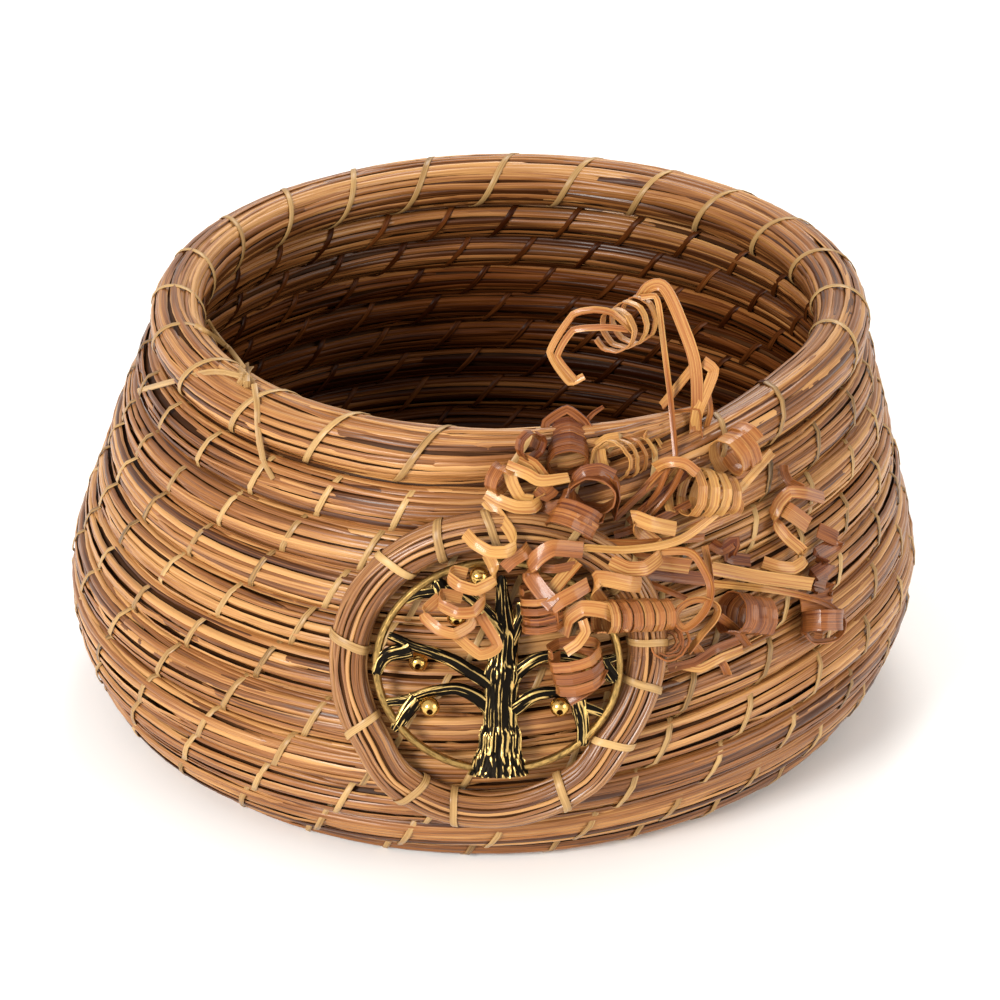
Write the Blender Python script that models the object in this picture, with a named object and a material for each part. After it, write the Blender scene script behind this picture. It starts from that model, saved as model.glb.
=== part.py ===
"""Coiled grass basket with a ring-framed tree pendant and a spray of curled strips.

One long bundle of grass is coiled round and round: a flat base, a belly, and a wall
that draws in to a thicker rim. Each row lies on the one before it. A flat thread is
wound round the rim, a ring of grass frames a cast tree on the front, small beads hang
from the tree's branches, and curled strips spread over the rim and the wall beside it.

Units are metres, +Z is up, the front faces -Y, and the basket stands on z = 0.
"""
import math

import bmesh
import bpy
import numpy as np
from mathutils import Matrix, Vector
from mathutils.bvhtree import BVHTree

# Clearances
SEAT = 0.0003                 # gap left between pieces that touch
CUT_OVERRUN = 0.004           # how far a cutter runs past what it cuts
REST_STEPS = 18
WELD_DISTANCE = 0.00001
EDGE_SAMPLES = 4

# The coil
BUNDLE_RADIUS = 0.00385
RIM_RADIUS = 0.0052           # the last row is a thicker bundle
ROW_GAP = 0.0009              # gap between two level rows
RIM_GAP = 0.0014              # under the rim row, where the thread passes
START_RADIUS = 0.0042         # plug that the first turn is wound on
START_HEIGHT = 0.0062
START_GAP = 0.0004            # between the plug and the first turn
START_BEVEL = 0.0014
START_SIDES = 24
START_SPAN_SHARE = 0.94       # the plug stops short of the coil's own end
BASE_RADIUS = 0.0685
BELLY_RADIUS = 0.084
BELLY_HEIGHT = 0.030
NECK_RADIUS = 0.0673
RIM_HEIGHT = 0.0829           # middle of the rim row
NECK_CURVE_SHARE = 1.1        # above one, the wall is rounder near the belly
LEAN_SHARE = 0.065            # sideways drift of the wall for each unit of height
BASE_CUT_SHARE = 0.1          # part of the bundle's diameter that is worn flat
LEVEL_SHARE = 0.78            # part of an upper turn that runs level before it climbs
END_SHARE = 0.93              # where the tapered end of the rim row stops
TIP_RADIUS_SHARE = 0.16
COIL_START_AZIMUTH = math.radians(330)
LOOP_POINTS = 20
PROFILE_STEPS = 240

# Flat sewing thread
THREAD_WIDTH = 0.0014
THREAD_THICKNESS = 0.0003
THREAD_PITCH = 0.0178         # spacing of the wraps along the rim
WRAP_POINTS = 8
RIM_WRAP_LIFT = 0.0009        # thread's middle above the round of the rim row

# Ring that frames the pendant
RING_RADIUS = 0.0284
RING_UP_SHARE = 0.905         # the ring is a little lower than it is wide
RING_HALF_WIDTH = 0.0036
RING_HALF_THICKNESS = 0.0026
RING_STAND_OFF = 0.0012       # behind the ring, where its thread passes
RING_AZIMUTH = math.radians(-90.4)
RING_HEIGHT = 0.0471
RING_STATIONS = 30
RING_WRAPS = 10

# Cast tree
HOOP_WIRE_RADIUS = 0.0008
HOOP_CLEARANCE = 0.0015       # round the hoop, where the ring's thread passes
TREE_RELIEF_SHARE = 0.5       # depth of the casting against its width
LIMB_STEP_SHARE = 0.07        # each limb lies a little in front of the one before
TRUNK_RADIUS = 0.0036
BRANCH_RADIUS = 0.0019
BEAD_RADIUS = 0.00185
BEAD_BORE_RADIUS = 0.0006
BEAD_TILT = math.radians(35)

# Curled strips
STRIP_WIDTH = 0.0036
STRIP_THICKNESS = 0.0005
CURL_RADIUS = 0.0045
CURL_PITCH = 0.0043           # least spacing of the curls of a strip along its axis
CURL_POINTS = 8
STRIP_LENGTH = 0.022
BENT_POINTS = 9
START_LIFT = 0.030            # where a piece starts before it is rested on the wall
TENDRIL_HEIGHT = 0.0314
TENDRIL_WIDTH = 0.0024
TENDRIL_CURL_RADIUS = 0.0040
TENDRIL_CURL_PITCH = 0.0034
TENDRIL_CURL_TURN = math.radians(60)    # its loops' axis, from along the rim to outward

# Tie on the rim
KNOT_RADIUS = 0.0016
TIE_AZIMUTH = -136.0
TIE_TAIL_AZIMUTH = -130.0
TIE_TAIL_SHARE = 0.86
TIE_LENGTH = 0.016
TIE_SWAY = 0.0015

COLLECTION = "coiled_basket"


def clear_scene():
    for old in list(bpy.data.objects):
        bpy.data.objects.remove(old, do_unlink=True)


def make_collection(name):
    group = bpy.data.collections.new(name)
    bpy.context.scene.collection.children.link(group)
    return group


def finish(name, colour, roughness, metallic=0.0):
    """Principled material with one colour."""
    material = bpy.data.materials.new(name)
    material.use_nodes = True
    shader = material.node_tree.nodes["Principled BSDF"]
    shader.inputs["Base Color"].default_value = (*colour, 1.0)
    shader.inputs["Roughness"].default_value = roughness
    shader.inputs["Metallic"].default_value = metallic
    material.diffuse_color = (*colour, 1.0)
    return material


def add_mesh(name, bm, material, group):
    """Put a finished bmesh in the scene as one smooth-shaded object."""
    bmesh.ops.recalc_face_normals(bm, faces=bm.faces)
    mesh = bpy.data.meshes.new(name)
    bm.to_mesh(mesh)
    bm.free()
    mesh.shade_smooth()
    mesh.set_sharp_from_angle(angle=math.radians(40))
    mesh.materials.append(material)
    piece = bpy.data.objects.new(name, mesh)
    group.objects.link(piece)
    return piece


def tube_curve(name, points, radii, depth, sides):
    """Curve object with a round section whose size follows the given radii."""
    curve = bpy.data.curves.new(name, "CURVE")
    curve.dimensions = "3D"
    curve.twist_mode = "Z_UP"
    curve.bevel_depth = depth
    curve.bevel_resolution = sides
    curve.use_fill_caps = True
    spline = curve.splines.new("POLY")
    spline.points.add(len(points) - 1)
    for point, place, radius in zip(spline.points, points, radii):
        point.co = (*place, 1.0)
        point.radius = radius / depth
    piece = bpy.data.objects.new(name, curve)
    bpy.context.scene.collection.objects.link(piece)
    return piece


def curve_to_mesh(piece, material, group):
    """Turn a curve object into a closed mesh object in the given collection."""
    bpy.context.view_layer.update()
    evaluated = piece.evaluated_get(bpy.context.evaluated_depsgraph_get())
    mesh = bpy.data.meshes.new_from_object(evaluated)
    bm = bmesh.new()
    bm.from_mesh(mesh)
    bpy.data.meshes.remove(mesh)
    bmesh.ops.remove_doubles(bm, verts=bm.verts, dist=WELD_DISTANCE)
    result = add_mesh(piece.name + "_mesh", bm, material, group)
    result.matrix_world = piece.matrix_world
    name = piece.name
    bpy.data.objects.remove(piece, do_unlink=True)
    result.name = name
    return result


def loft(sections, closed=False):
    """Skin a row of like sections, with flat ends unless the row is closed."""
    bm = bmesh.new()
    rings = [[bm.verts.new(place) for place in section] for section in sections]
    sides = len(rings[0])
    pairs = list(zip(rings, rings[1:]))
    if closed:
        pairs.append((rings[-1], rings[0]))
    for low, high in pairs:
        for k in range(sides):
            after = (k + 1) % sides
            bm.faces.new((low[k], low[after], high[after], high[k]))
    if not closed:
        bm.faces.new(list(reversed(rings[0])))
        bm.faces.new(rings[-1])
    return bm


def strip_sections(places, outs, half_width, half_thickness):
    """Rectangles across a path, with their flat side facing the given directions."""
    sections = []
    for k, place in enumerate(places):
        before = places[max(k - 1, 0)]
        after = places[min(k + 1, len(places) - 1)]
        along = (after - before).normalized()
        across = along.cross(outs[k]).normalized()
        out = across.cross(along).normalized()
        wide = across * half_width
        thick = out * half_thickness
        corners = [place - wide - thick, place + wide - thick, place + wide + thick]
        sections.append(corners + [place - wide + thick])
    return sections


class Carrier:
    """What has been placed so far, for resting the next piece on it."""

    def __init__(self):
        self.places = []
        self.faces = []
        self.samples = []

    def add(self, piece):
        evaluated = piece.evaluated_get(bpy.context.evaluated_depsgraph_get())
        mesh = evaluated.to_mesh()
        first = len(self.places)
        places = [piece.matrix_world @ vertex.co for vertex in mesh.vertices]
        self.places += places
        self.faces += [[first + k for k in face.vertices] for face in mesh.polygons]
        self.samples += edge_samples(places, [tuple(edge.vertices) for edge in mesh.edges])
        evaluated.to_mesh_clear()

    def rest(self, bm, toward):
        """Slide a shape in one direction until it lies a seat's gap from what is there."""
        tree = BVHTree.FromPolygons(self.places, self.faces)
        shape = np.array([tuple(vertex.co) for vertex in bm.verts])
        middle = 0.5 * (shape.min(axis=0) + shape.max(axis=0))
        size = float(np.linalg.norm(shape - middle, axis=1).max())
        reach = size + 2 * START_LIFT
        away = np.linalg.norm(np.array([tuple(place) for place in self.samples]) - middle, axis=1)
        close = [self.samples[k] for k in np.flatnonzero(away < reach)]
        for _ in range(REST_STEPS):
            own = BVHTree.FromBMesh(bm)
            places = [vertex.co.copy() for vertex in bm.verts]
            ends = [tuple(vertex.index for vertex in edge.verts) for edge in bm.edges]
            least = min(tree.find_nearest(place)[3] for place in edge_samples(places, ends))
            near = least + SEAT
            for place in close:
                hit = own.find_nearest(place, near)
                if hit[3] is not None:
                    least = min(least, hit[3])
                    near = least
            bmesh.ops.translate(bm, verts=bm.verts, vec=toward * (least - SEAT))


def edge_samples(places, ends):
    """Points along a shape's edges."""
    samples = []
    for first, second in ends:
        for k in range(EDGE_SAMPLES):
            samples.append(places[first].lerp(places[second], k / EDGE_SAMPLES))
    return samples


# The coil's path
BUNDLE_FLAT = 2 * BUNDLE_RADIUS * BASE_CUT_SHARE
FLOOR_ROW_HEIGHT = BUNDLE_RADIUS - BUNDLE_FLAT


def profile_line():
    """Half section of the basket, from the middle of the base to the rim."""
    turn = np.linspace(0, math.pi / 2, PROFILE_STEPS)
    low_r = BASE_RADIUS + (BELLY_RADIUS - BASE_RADIUS) * np.sin(turn)
    low_z = FLOOR_ROW_HEIGHT + (BELLY_HEIGHT - FLOOR_ROW_HEIGHT) * (1 - np.cos(turn))
    rise = np.linspace(0, 1, PROFILE_STEPS)[1:]
    high_r = BELLY_RADIUS - (BELLY_RADIUS - NECK_RADIUS) * rise ** NECK_CURVE_SHARE
    high_z = BELLY_HEIGHT + (RIM_HEIGHT - BELLY_HEIGHT) * rise
    radius = np.concatenate([[0], low_r, high_r])
    height = np.concatenate([[FLOOR_ROW_HEIGHT], low_z, high_z])
    reach = np.concatenate([[0], np.cumsum(np.hypot(np.diff(radius), np.diff(height)))])
    return radius, height, reach


PROFILE_R, PROFILE_Z, PROFILE_REACH = profile_line()
RIM_REACH = float(PROFILE_REACH[-1])
FIRST_REACH = START_RADIUS + START_GAP + BUNDLE_RADIUS
LAST_ROW_REACH = RIM_REACH - RIM_RADIUS - RIM_GAP - BUNDLE_RADIUS


def on_profile(reach):
    """Radius and height at a distance along the profile."""
    radius = float(np.interp(reach, PROFILE_REACH, PROFILE_R))
    height = float(np.interp(reach, PROFILE_REACH, PROFILE_Z))
    return radius, height


def reach_at(height):
    """Distance along the profile at which the wall has this height."""
    return float(np.interp(height, PROFILE_Z[1:], PROFILE_REACH[1:]))


def next_row(reach, pitch):
    """Place on the profile whose straight distance from this one is the pitch."""
    start = Vector(on_profile(reach))
    ahead = reach + pitch
    for _ in range(6):
        ahead += pitch - (Vector(on_profile(ahead)) - start).length
    return ahead


def spaced_rows():
    """Rows from the start to under the rim, as far apart as their whole count lets them."""
    pitch = 2 * BUNDLE_RADIUS + ROW_GAP
    reaches = [FIRST_REACH]
    while next_row(reaches[-1], pitch) <= LAST_ROW_REACH:
        reaches.append(next_row(reaches[-1], pitch))
    for _ in range(12):
        pitch *= (LAST_ROW_REACH - FIRST_REACH) / (reaches[-1] - FIRST_REACH)
        for row in range(1, len(reaches)):
            reaches[row] = next_row(reaches[row - 1], pitch)
    return reaches


ROW_REACHES = spaced_rows()
ROWS = len(ROW_REACHES) - 1


def row_reach(row):
    """Distance along the profile of a whole row; the one after the last is the rim."""
    if row > ROWS:
        return RIM_REACH
    return ROW_REACHES[row]


def smooth(share):
    share = min(max(share, 0.0), 1.0)
    return share * share * (3 - 2 * share)


def coil_state(turn):
    """Distance along the profile and bundle radius after so many turns.

    Near the middle the coil spirals out steadily. Higher up, each turn runs level and
    climbs to the next row over its last part. The rim row tapers on top of that climb.
    """
    row = min(int(turn), ROWS + 1)
    part = turn - row
    climb = smooth((part - LEVEL_SHARE) / (1 - LEVEL_SHARE))
    if row == ROWS + 1:
        if part <= LEVEL_SHARE:
            return RIM_REACH, RIM_RADIUS
        below, below_radius = coil_state(turn - 1)
        top = RIM_REACH + RIM_RADIUS
        radius = max(0.5 * (top - below - below_radius - RIM_GAP), RIM_RADIUS * TIP_RADIUS_SHARE)
        return below + below_radius + RIM_GAP + radius, radius
    settle = min(1.0, turn / ROWS)
    share = part + (climb - part) * settle
    start = row_reach(row)
    reach = start + (row_reach(row + 1) - start) * share
    radius = BUNDLE_RADIUS
    if row == ROWS:
        radius += (RIM_RADIUS - BUNDLE_RADIUS) * climb
    return reach, radius


def place_on(azimuth, radius, height):
    """World point at an azimuth, moved sideways by the wall's lean."""
    x = radius * math.cos(azimuth) + LEAN_SHARE * (height - FLOOR_ROW_HEIGHT)
    return Vector((x, radius * math.sin(azimuth), height))


def profile_frame(reach):
    """Upward and outward directions of the profile, in radius and height."""
    step = 0.5 * BUNDLE_RADIUS
    within = min(reach, RIM_REACH)
    r0, z0 = on_profile(max(within - step, 0.0))
    r1, z1 = on_profile(min(within + step, RIM_REACH))
    length = math.hypot(r1 - r0, z1 - z0)
    return (r1 - r0) / length, (z1 - z0) / length


def wall_frame(azimuth, reach, lift):
    """Point at a height above the wall's middle line, with along, up and out there."""
    radius, height = on_profile(min(reach, RIM_REACH))
    up_r, up_z = profile_frame(min(reach, RIM_REACH))
    beyond = max(reach - RIM_REACH, 0.0)
    radius += up_r * beyond + up_z * lift
    height += up_z * beyond - up_r * lift
    along = Vector((-math.sin(azimuth), math.cos(azimuth), 0))
    up = Vector((up_r * math.cos(azimuth), up_r * math.sin(azimuth), up_z))
    return place_on(azimuth, radius, height), along, up, along.cross(up)


def coil_azimuth(turn):
    return COIL_START_AZIMUTH + 2 * math.pi * turn


def coil_points():
    """Middle line and radii of the whole bundle."""
    points = []
    radii = []
    count = int((ROWS + 1 + END_SHARE) * LOOP_POINTS)
    for k in range(count + 1):
        turn = k / LOOP_POINTS
        reach, radius = coil_state(turn)
        points.append(wall_frame(coil_azimuth(turn), reach, 0.0)[0])
        radii.append(radius)
    return points, radii


def least_gap(points, radii, loop):
    """Least clear distance between a wound tube and its own other turns."""
    places = np.array([tuple(point) for point in points])
    sizes = np.array(radii)
    least = math.inf
    for k in range(len(places) - loop // 2):
        others = slice(k + loop // 2, min(k + 2 * loop, len(places)))
        away = np.linalg.norm(places[others] - places[k], axis=1)
        least = min(least, float((away - sizes[others] - sizes[k]).min()))
    return least


def make_coil(group, cutters, material):
    """Whole grass bundle as one tube, with its underside worn flat."""
    points, radii = coil_points()
    gap = least_gap(points, radii, LOOP_POINTS)
    print("coil: rows", ROWS + 2, "least gap mm", round(gap * 1000, 3))
    curve = tube_curve("grass_coil", points, radii, BUNDLE_RADIUS, 1)
    coil = curve_to_mesh(curve, material, group)
    bm = bmesh.new()
    bmesh.ops.create_cube(bm, size=1.0)
    across = 2 * (BELLY_RADIUS + CUT_OVERRUN)
    bmesh.ops.scale(bm, verts=bm.verts, vec=(across, across, CUT_OVERRUN))
    bmesh.ops.translate(bm, verts=bm.verts, vec=(0, 0, -0.5 * CUT_OVERRUN))
    cutter = add_mesh("floor_cutter", bm, material, cutters)
    cutter.hide_render = True
    cutter.display_type = "WIRE"
    cut = coil.modifiers.new("worn_flat", "BOOLEAN")
    cut.operation = "DIFFERENCE"
    cut.object = cutter
    return coil


def make_start(group, material):
    """Short grass ends packed in the middle of the base, inside the first turn."""
    bm = bmesh.new()
    rim = []
    for k in range(START_SIDES + 1):
        turn = START_SPAN_SHARE * k / START_SIDES
        radius = coil_state(turn)[0] - BUNDLE_RADIUS - START_GAP
        azimuth = coil_azimuth(turn)
        rim.append(bm.verts.new((radius * math.cos(azimuth), radius * math.sin(azimuth), 0)))
    base = bm.faces.new(rim)
    raised = bmesh.ops.extrude_face_region(bm, geom=[base], use_keep_orig=True)["geom"]
    top = [vertex for vertex in raised if isinstance(vertex, bmesh.types.BMVert)]
    bmesh.ops.translate(bm, verts=top, vec=(0, 0, START_HEIGHT))
    edges = [edge for edge in bm.edges if edge.verts[0] in top and edge.verts[1] in top]
    bmesh.ops.bevel(bm, geom=edges, offset=START_BEVEL, offset_type="OFFSET",
                    segments=1, profile=0.5, affect="EDGES", material=-1)
    return add_mesh("coil_start_plug", bm, material, group)


def on_chord(turn):
    """Middle of the rim row between its corner points, as the tube runs straight there."""
    low = math.floor(turn * LOOP_POINTS) / LOOP_POINTS
    first = wall_frame(coil_azimuth(low), RIM_REACH, 0.0)[0]
    second = wall_frame(coil_azimuth(low + 1 / LOOP_POINTS), RIM_REACH, 0.0)[0]
    return first.lerp(second, (turn - low) * LOOP_POINTS)


def make_rim_thread(group, material):
    """Flat thread wound round the rim row, one long helix along its level part."""
    wrap_radius = RIM_RADIUS + RIM_WRAP_LIFT
    rim_radius = on_profile(RIM_REACH)[0]
    up_r, up_z = profile_frame(RIM_REACH)
    level_turn = 2 * math.pi * LEVEL_SHARE
    wraps = int(level_turn * rim_radius / THREAD_PITCH)
    step = level_turn / (wraps * WRAP_POINTS)
    places = []
    outs = []
    for k in range(1, wraps * WRAP_POINTS - WRAP_POINTS // 2):
        around = math.pi + 2 * math.pi * k / WRAP_POINTS
        azimuth = coil_azimuth(0) + step * k
        away_r = up_z * math.cos(around) + up_r * math.sin(around)
        away_z = -up_r * math.cos(around) + up_z * math.sin(around)
        out = Vector((away_r * math.cos(azimuth), away_r * math.sin(azimuth), away_z))
        places.append(on_chord(step * k / (2 * math.pi)) + out * wrap_radius)
        outs.append(out)
    gap = least_gap(places, [0.5 * THREAD_WIDTH] * len(places), WRAP_POINTS)
    print("rim thread: wraps", wraps, "least gap mm", round(gap * 1000, 3))
    sections = strip_sections(places, outs, 0.5 * THREAD_WIDTH, 0.5 * THREAD_THICKNESS)
    return add_mesh("rim_thread", loft(sections), material, group)


# Ring and pendant

RING_REACH = reach_at(RING_HEIGHT)
RING_LIFT = BUNDLE_RADIUS + RING_STAND_OFF + RING_HALF_THICKNESS


def ring_frame(angle, lift):
    """Point on the ring's middle line with its radial and outward directions."""
    reach = RING_REACH + RING_RADIUS * RING_UP_SHARE * math.sin(angle)
    radius = on_profile(reach)[0] + lift * profile_frame(reach)[1]
    azimuth = RING_AZIMUTH + RING_RADIUS * math.cos(angle) / radius
    place, along, up, out = wall_frame(azimuth, reach, lift)
    radial = along * math.cos(angle) + up * (math.sin(angle) / RING_UP_SHARE)
    return place, radial.normalized(), out


def ring_section(angle, grow):
    """Flattened round section of the ring, larger by the given clearance."""
    place, radial, out = ring_frame(angle, RING_LIFT)
    wide = RING_HALF_WIDTH + grow
    thick = RING_HALF_THICKNESS + grow
    section = []
    for k in range(WRAP_POINTS):
        around = 2 * math.pi * k / WRAP_POINTS
        section.append(place + radial * (wide * math.cos(around)) + out * (thick * math.sin(around)))
    return section


def make_ring(group, material):
    """Ring of grass that follows the curve of the wall."""
    sections = []
    for k in range(RING_STATIONS):
        sections.append(ring_section(2 * math.pi * k / RING_STATIONS, 0.0))
    return add_mesh("medallion_ring", loft(sections, closed=True), material, group)


def make_ring_thread(group, material):
    """Flat thread wound round the ring."""
    grow = SEAT + THREAD_THICKNESS
    count = RING_WRAPS * WRAP_POINTS
    places = []
    outs = []
    for k in range(count - WRAP_POINTS // 2):
        angle = math.pi / 2 + 2 * math.pi * k / count
        place, radial, out = ring_frame(angle, RING_LIFT)
        corner = ring_section(angle, grow)[k % WRAP_POINTS]
        around = 2 * math.pi * (k % WRAP_POINTS) / WRAP_POINTS
        places.append(corner)
        outs.append(radial * math.cos(around) + out * math.sin(around))
    sections = strip_sections(places, outs, 0.5 * THREAD_WIDTH, 0.5 * THREAD_THICKNESS)
    return add_mesh("ring_thread", loft(sections), material, group)


# Places in the hoop, as shares of its half width and half height: right, up
TREE_SHARES = {
    "trunk": ((0.01, -1.02), (0.01, -0.90), (0.02, -0.66), (0.02, -0.40), (0.03, -0.17), (0.05, 0.06),
              (0.07, 0.30), (0.05, 0.57), (0.03, 0.87)),
    "left_low": ((-0.03, -0.46), (-0.17, -0.29), (-0.35, -0.21), (-0.55, -0.25), (-0.77, -0.33),
                 (-0.94, -0.37)),
    "left_mid": ((-0.02, -0.22), (-0.23, -0.04), (-0.43, 0.08), (-0.64, 0.17), (-0.90, 0.29)),
    "left_high": ((0.03, 0.32), (-0.12, 0.55), (-0.29, 0.70), (-0.47, 0.72), (-0.65, 0.69), (-0.77, 0.62)),
    "right_low": ((0.08, -0.44), (0.25, -0.31), (0.40, -0.25), (0.57, -0.26), (0.69, -0.36), (0.88, -0.46)),
    "right_mid": ((0.07, -0.15), (0.22, 0.01), (0.37, 0.09), (0.57, 0.10), (0.81, 0.06), (0.98, 0.11)),
    "right_high": ((0.08, 0.18), (0.16, 0.39), (0.20, 0.50), (0.19, 0.62)),
    "left_twig": ((-0.67, -0.30), (-0.76, -0.45), (-0.83, -0.57)),
    "left_tip": ((-0.72, 0.19), (-0.90, 0.09), (-0.99, -0.07)),
    "high_twig": ((-0.46, 0.71), (-0.50, 0.82)),
    "right_twig": ((0.66, -0.33), (0.70, -0.55), (0.69, -0.74)),
    "right_tip": ((0.86, 0.06), (0.96, -0.14)),
}
TRUNK_RADIUS_SHARES = (1.5, 1.12, 0.86, 0.81, 0.88, 0.67, 0.5, 0.36, 0.2)
BRANCH_RADIUS_SHARES = (0.78, 0.7, 0.6, 0.55, 0.5, 0.42)
# Beads, as shares of the hoop's half width and half height: right, up
BEAD_SHARES = ((-0.66, 0.00), (-0.56, -0.37), (0.51, -0.37), (-0.34, 0.44), (-0.15, 0.88), (0.76, -0.05))
HOOP_INSET = RING_HALF_WIDTH + HOOP_CLEARANCE + HOOP_WIRE_RADIUS
HOOP_RADIUS = RING_RADIUS - HOOP_INSET
HOOP_UP = RING_RADIUS * RING_UP_SHARE - HOOP_INSET
TREE_LIFT = BUNDLE_RADIUS + SEAT + TRUNK_RADIUS * TREE_RELIEF_SHARE * TRUNK_RADIUS_SHARES[0]


def branch_radii(name, count):
    if name == "trunk":
        return [TRUNK_RADIUS * share for share in TRUNK_RADIUS_SHARES]
    return [BRANCH_RADIUS * share for share in BRANCH_RADIUS_SHARES[:count]]


def tree_matrix():
    """Local right, up and out of the casting, which lies flat against the wall."""
    place, along, up, out = wall_frame(RING_AZIMUTH, RING_REACH, TREE_LIFT)
    turned = Matrix((along, up, out)).transposed()
    return Matrix.Translation(place) @ turned.to_4x4()


def make_tree(group, cutters, material):
    """Cast tree and its hoop, joined into one solid."""
    limbs = []
    for number, (name, shares) in enumerate(TREE_SHARES.items()):
        depth = BRANCH_RADIUS * LIMB_STEP_SHARE * (number - 0.5 * len(TREE_SHARES))
        points = [(x * HOOP_RADIUS, y * HOOP_UP, depth) for x, y in shares]
        curve = tube_curve("limb_" + name, points, branch_radii(name, len(shares)), BRANCH_RADIUS, 1)
        limbs.append(curve_to_mesh(curve, material, cutters))
    bpy.ops.mesh.primitive_torus_add(major_radius=HOOP_RADIUS, minor_radius=HOOP_WIRE_RADIUS,
                                     major_segments=32, minor_segments=6)
    tree = bpy.context.object
    for linked in list(tree.users_collection):
        linked.objects.unlink(tree)
    group.objects.link(tree)
    tree.name = "tree_pendant"
    tree.data.name = "tree_pendant"
    tree.data.materials.append(material)
    flat = Matrix.Diagonal((1, 1, TREE_RELIEF_SHARE, 1))
    place = tree_matrix()
    tree.data.transform(place @ Matrix.Diagonal((1, HOOP_UP / HOOP_RADIUS, 1, 1)))
    for limb in limbs:
        limb.data.transform(place @ flat)
        limb.hide_render = True
        limb.display_type = "WIRE"
        join = tree.modifiers.new(limb.name, "BOOLEAN")
        join.operation = "UNION"
        join.object = limb
    return tree


def make_beads(group, cutters, material, carrier):
    """Pierced round beads that rest against the branches."""
    place = tree_matrix()
    out = place.to_3x3() @ Vector((0, 0, 1))
    for number, (right_share, up_share) in enumerate(BEAD_SHARES, start=1):
        spot = Vector((right_share * HOOP_RADIUS, up_share * HOOP_UP, START_LIFT))
        at = place @ Matrix.Translation(spot)
        bm = bmesh.new()
        bmesh.ops.create_uvsphere(bm, u_segments=12, v_segments=7, radius=BEAD_RADIUS)
        bmesh.ops.transform(bm, matrix=at, verts=bm.verts)
        carrier.rest(bm, -out)
        middle = sum((vertex.co for vertex in bm.verts), Vector()) / len(bm.verts)
        bead = add_mesh("bead_" + str(number), bm, material, group)
        bm = bmesh.new()
        bmesh.ops.create_cone(bm, cap_ends=True, segments=8, radius1=BEAD_BORE_RADIUS,
                              radius2=BEAD_BORE_RADIUS, depth=2 * (BEAD_RADIUS + CUT_OVERRUN))
        tilt = place.to_3x3().to_4x4() @ Matrix.Rotation(BEAD_TILT, 4, "X")
        bmesh.ops.transform(bm, matrix=Matrix.Translation(middle) @ tilt, verts=bm.verts)
        drill = add_mesh("bead_drill_" + str(number), bm, material, cutters)
        drill.hide_render = True
        drill.display_type = "WIRE"
        bore = bead.modifiers.new("bore", "BOOLEAN")
        bore.operation = "DIFFERENCE"
        bore.object = drill
        carrier.add(bead)


# Curled strips

# Each curl: azimuth, height as a share of the rim's, tip of its rest from level to
# straight down, way of its axis along the wall, stand of its axis off the wall (all
# angles in degrees), then loop radius share, number of curls, pitch share
CURL_SHARES = {
    "curl_top_dark": (-83.5, 1.0, 40, 90, 80, 0.9, 1.8, 1.0),
    "curl_top_light": (-73.0, 1.0, 62, 5, 0, 1.0, 2.6, 1.0),
    "curl_left_light": (-90.5, 0.97, 30, 15, 0, 0.80, 2.0, 1.0),
    "curl_middle_dark": (-79.5, 0.94, 0, 10, 0, 1.10, 1.8, 1.0),
    "curl_right_rings": (-62.5, 0.93, 10, -10, 0, 1.0, 2.4, 1.0),
    "curl_rim_right": (-56.5, 1.0, 30, 50, 10, 0.95, 1.6, 1.1),
    "curl_far_right": (-48.0, 0.80, 0, 70, 20, 0.75, 1.6, 1.2),
    "curl_hook": (-43.5, 0.52, 0, 80, 0, 1.05, 1.4, 1.2),
    "curl_low_dark": (-57.0, 0.60, 0, 10, 0, 0.95, 2.2, 1.0),
    "curl_roll": (-69.0, 0.60, 0, 90, 80, 0.80, 1.5, 1.0),
    "curl_zigzag": (-92.0, 0.78, 0, 70, 0, 0.95, 4.0, 1.45),
    "curl_over_ring": (-76.0, 0.69, 0, 5, 0, 0.80, 3.0, 1.0),
    "curl_over_tree": (-81.0, 0.56, 0, 80, 0, 0.80, 1.8, 1.1),
    "curl_brown": (-84.5, 0.78, 0, 20, 0, 0.70, 1.8, 1.2),
}
# Each bent strip: azimuth, height share, way along the wall, length share, bow share
BENT_SHARES = {
    "strip_straight": (-55.5, 0.70, -4, 1.0, 0.04),
    "strip_long_arc": (-64.0, 0.84, 22, 1.5, 0.16),
    "strip_square_end": (-70.0, 0.85, -12, 0.6, 0.12),
    "strip_crinkled": (-44.5, 0.68, 80, 0.8, 0.10),
}
# Each rising strip: azimuth of its root, depth of its plane out from the rim, then its
# points sideways past the ring and up, all but the azimuth as shares of its height
RISING_SHARES = {
    "strip_upright": (-62.4, -0.115, ((0, 0), (-0.04, 0.17), (-0.09, 0.54), (-0.13, 0.79), (-0.15, 0.85))),
    "strip_folded": (-60.3, -0.062, ((0, 0), (0.06, 0.25), (0.1, 0.37), (0.03, 0.43), (-0.05, 0.33))),
    "strip_low_arc": (-57.1, -0.165, ((0, 0), (-0.04, 0.1), (-0.13, 0.15), (-0.25, 0.14), (-0.34, 0.05))),
}
TENDRIL_AZIMUTH = -59.5
TENDRIL_DEPTH_SHARE = 0.111
TENDRIL_SHARES = ((0.0, 0.0), (0.01, 0.29), (-0.02, 0.52), (-0.10, 0.77), (-0.18, 0.955), (-0.24, 1.0),
                  (-0.32, 0.92))
TENDRIL_END_SHARES = ((-0.62, 0.97), (-0.735, 0.925), (-0.87, 0.675), (-0.755, 0.465), (-0.665, 0.50))
TENDRIL_CURLS = 3


def rest_frame(azimuth, height_share, tip):
    """Start of a drop on to the wall, with the directions along, across and away."""
    angle = math.radians(azimuth)
    place, along, up, out = wall_frame(angle, reach_at(RIM_HEIGHT * height_share), 0.0)
    away = out * math.cos(math.radians(tip)) + up * math.sin(math.radians(tip))
    return place + away * START_LIFT, along, away.cross(along), away


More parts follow.
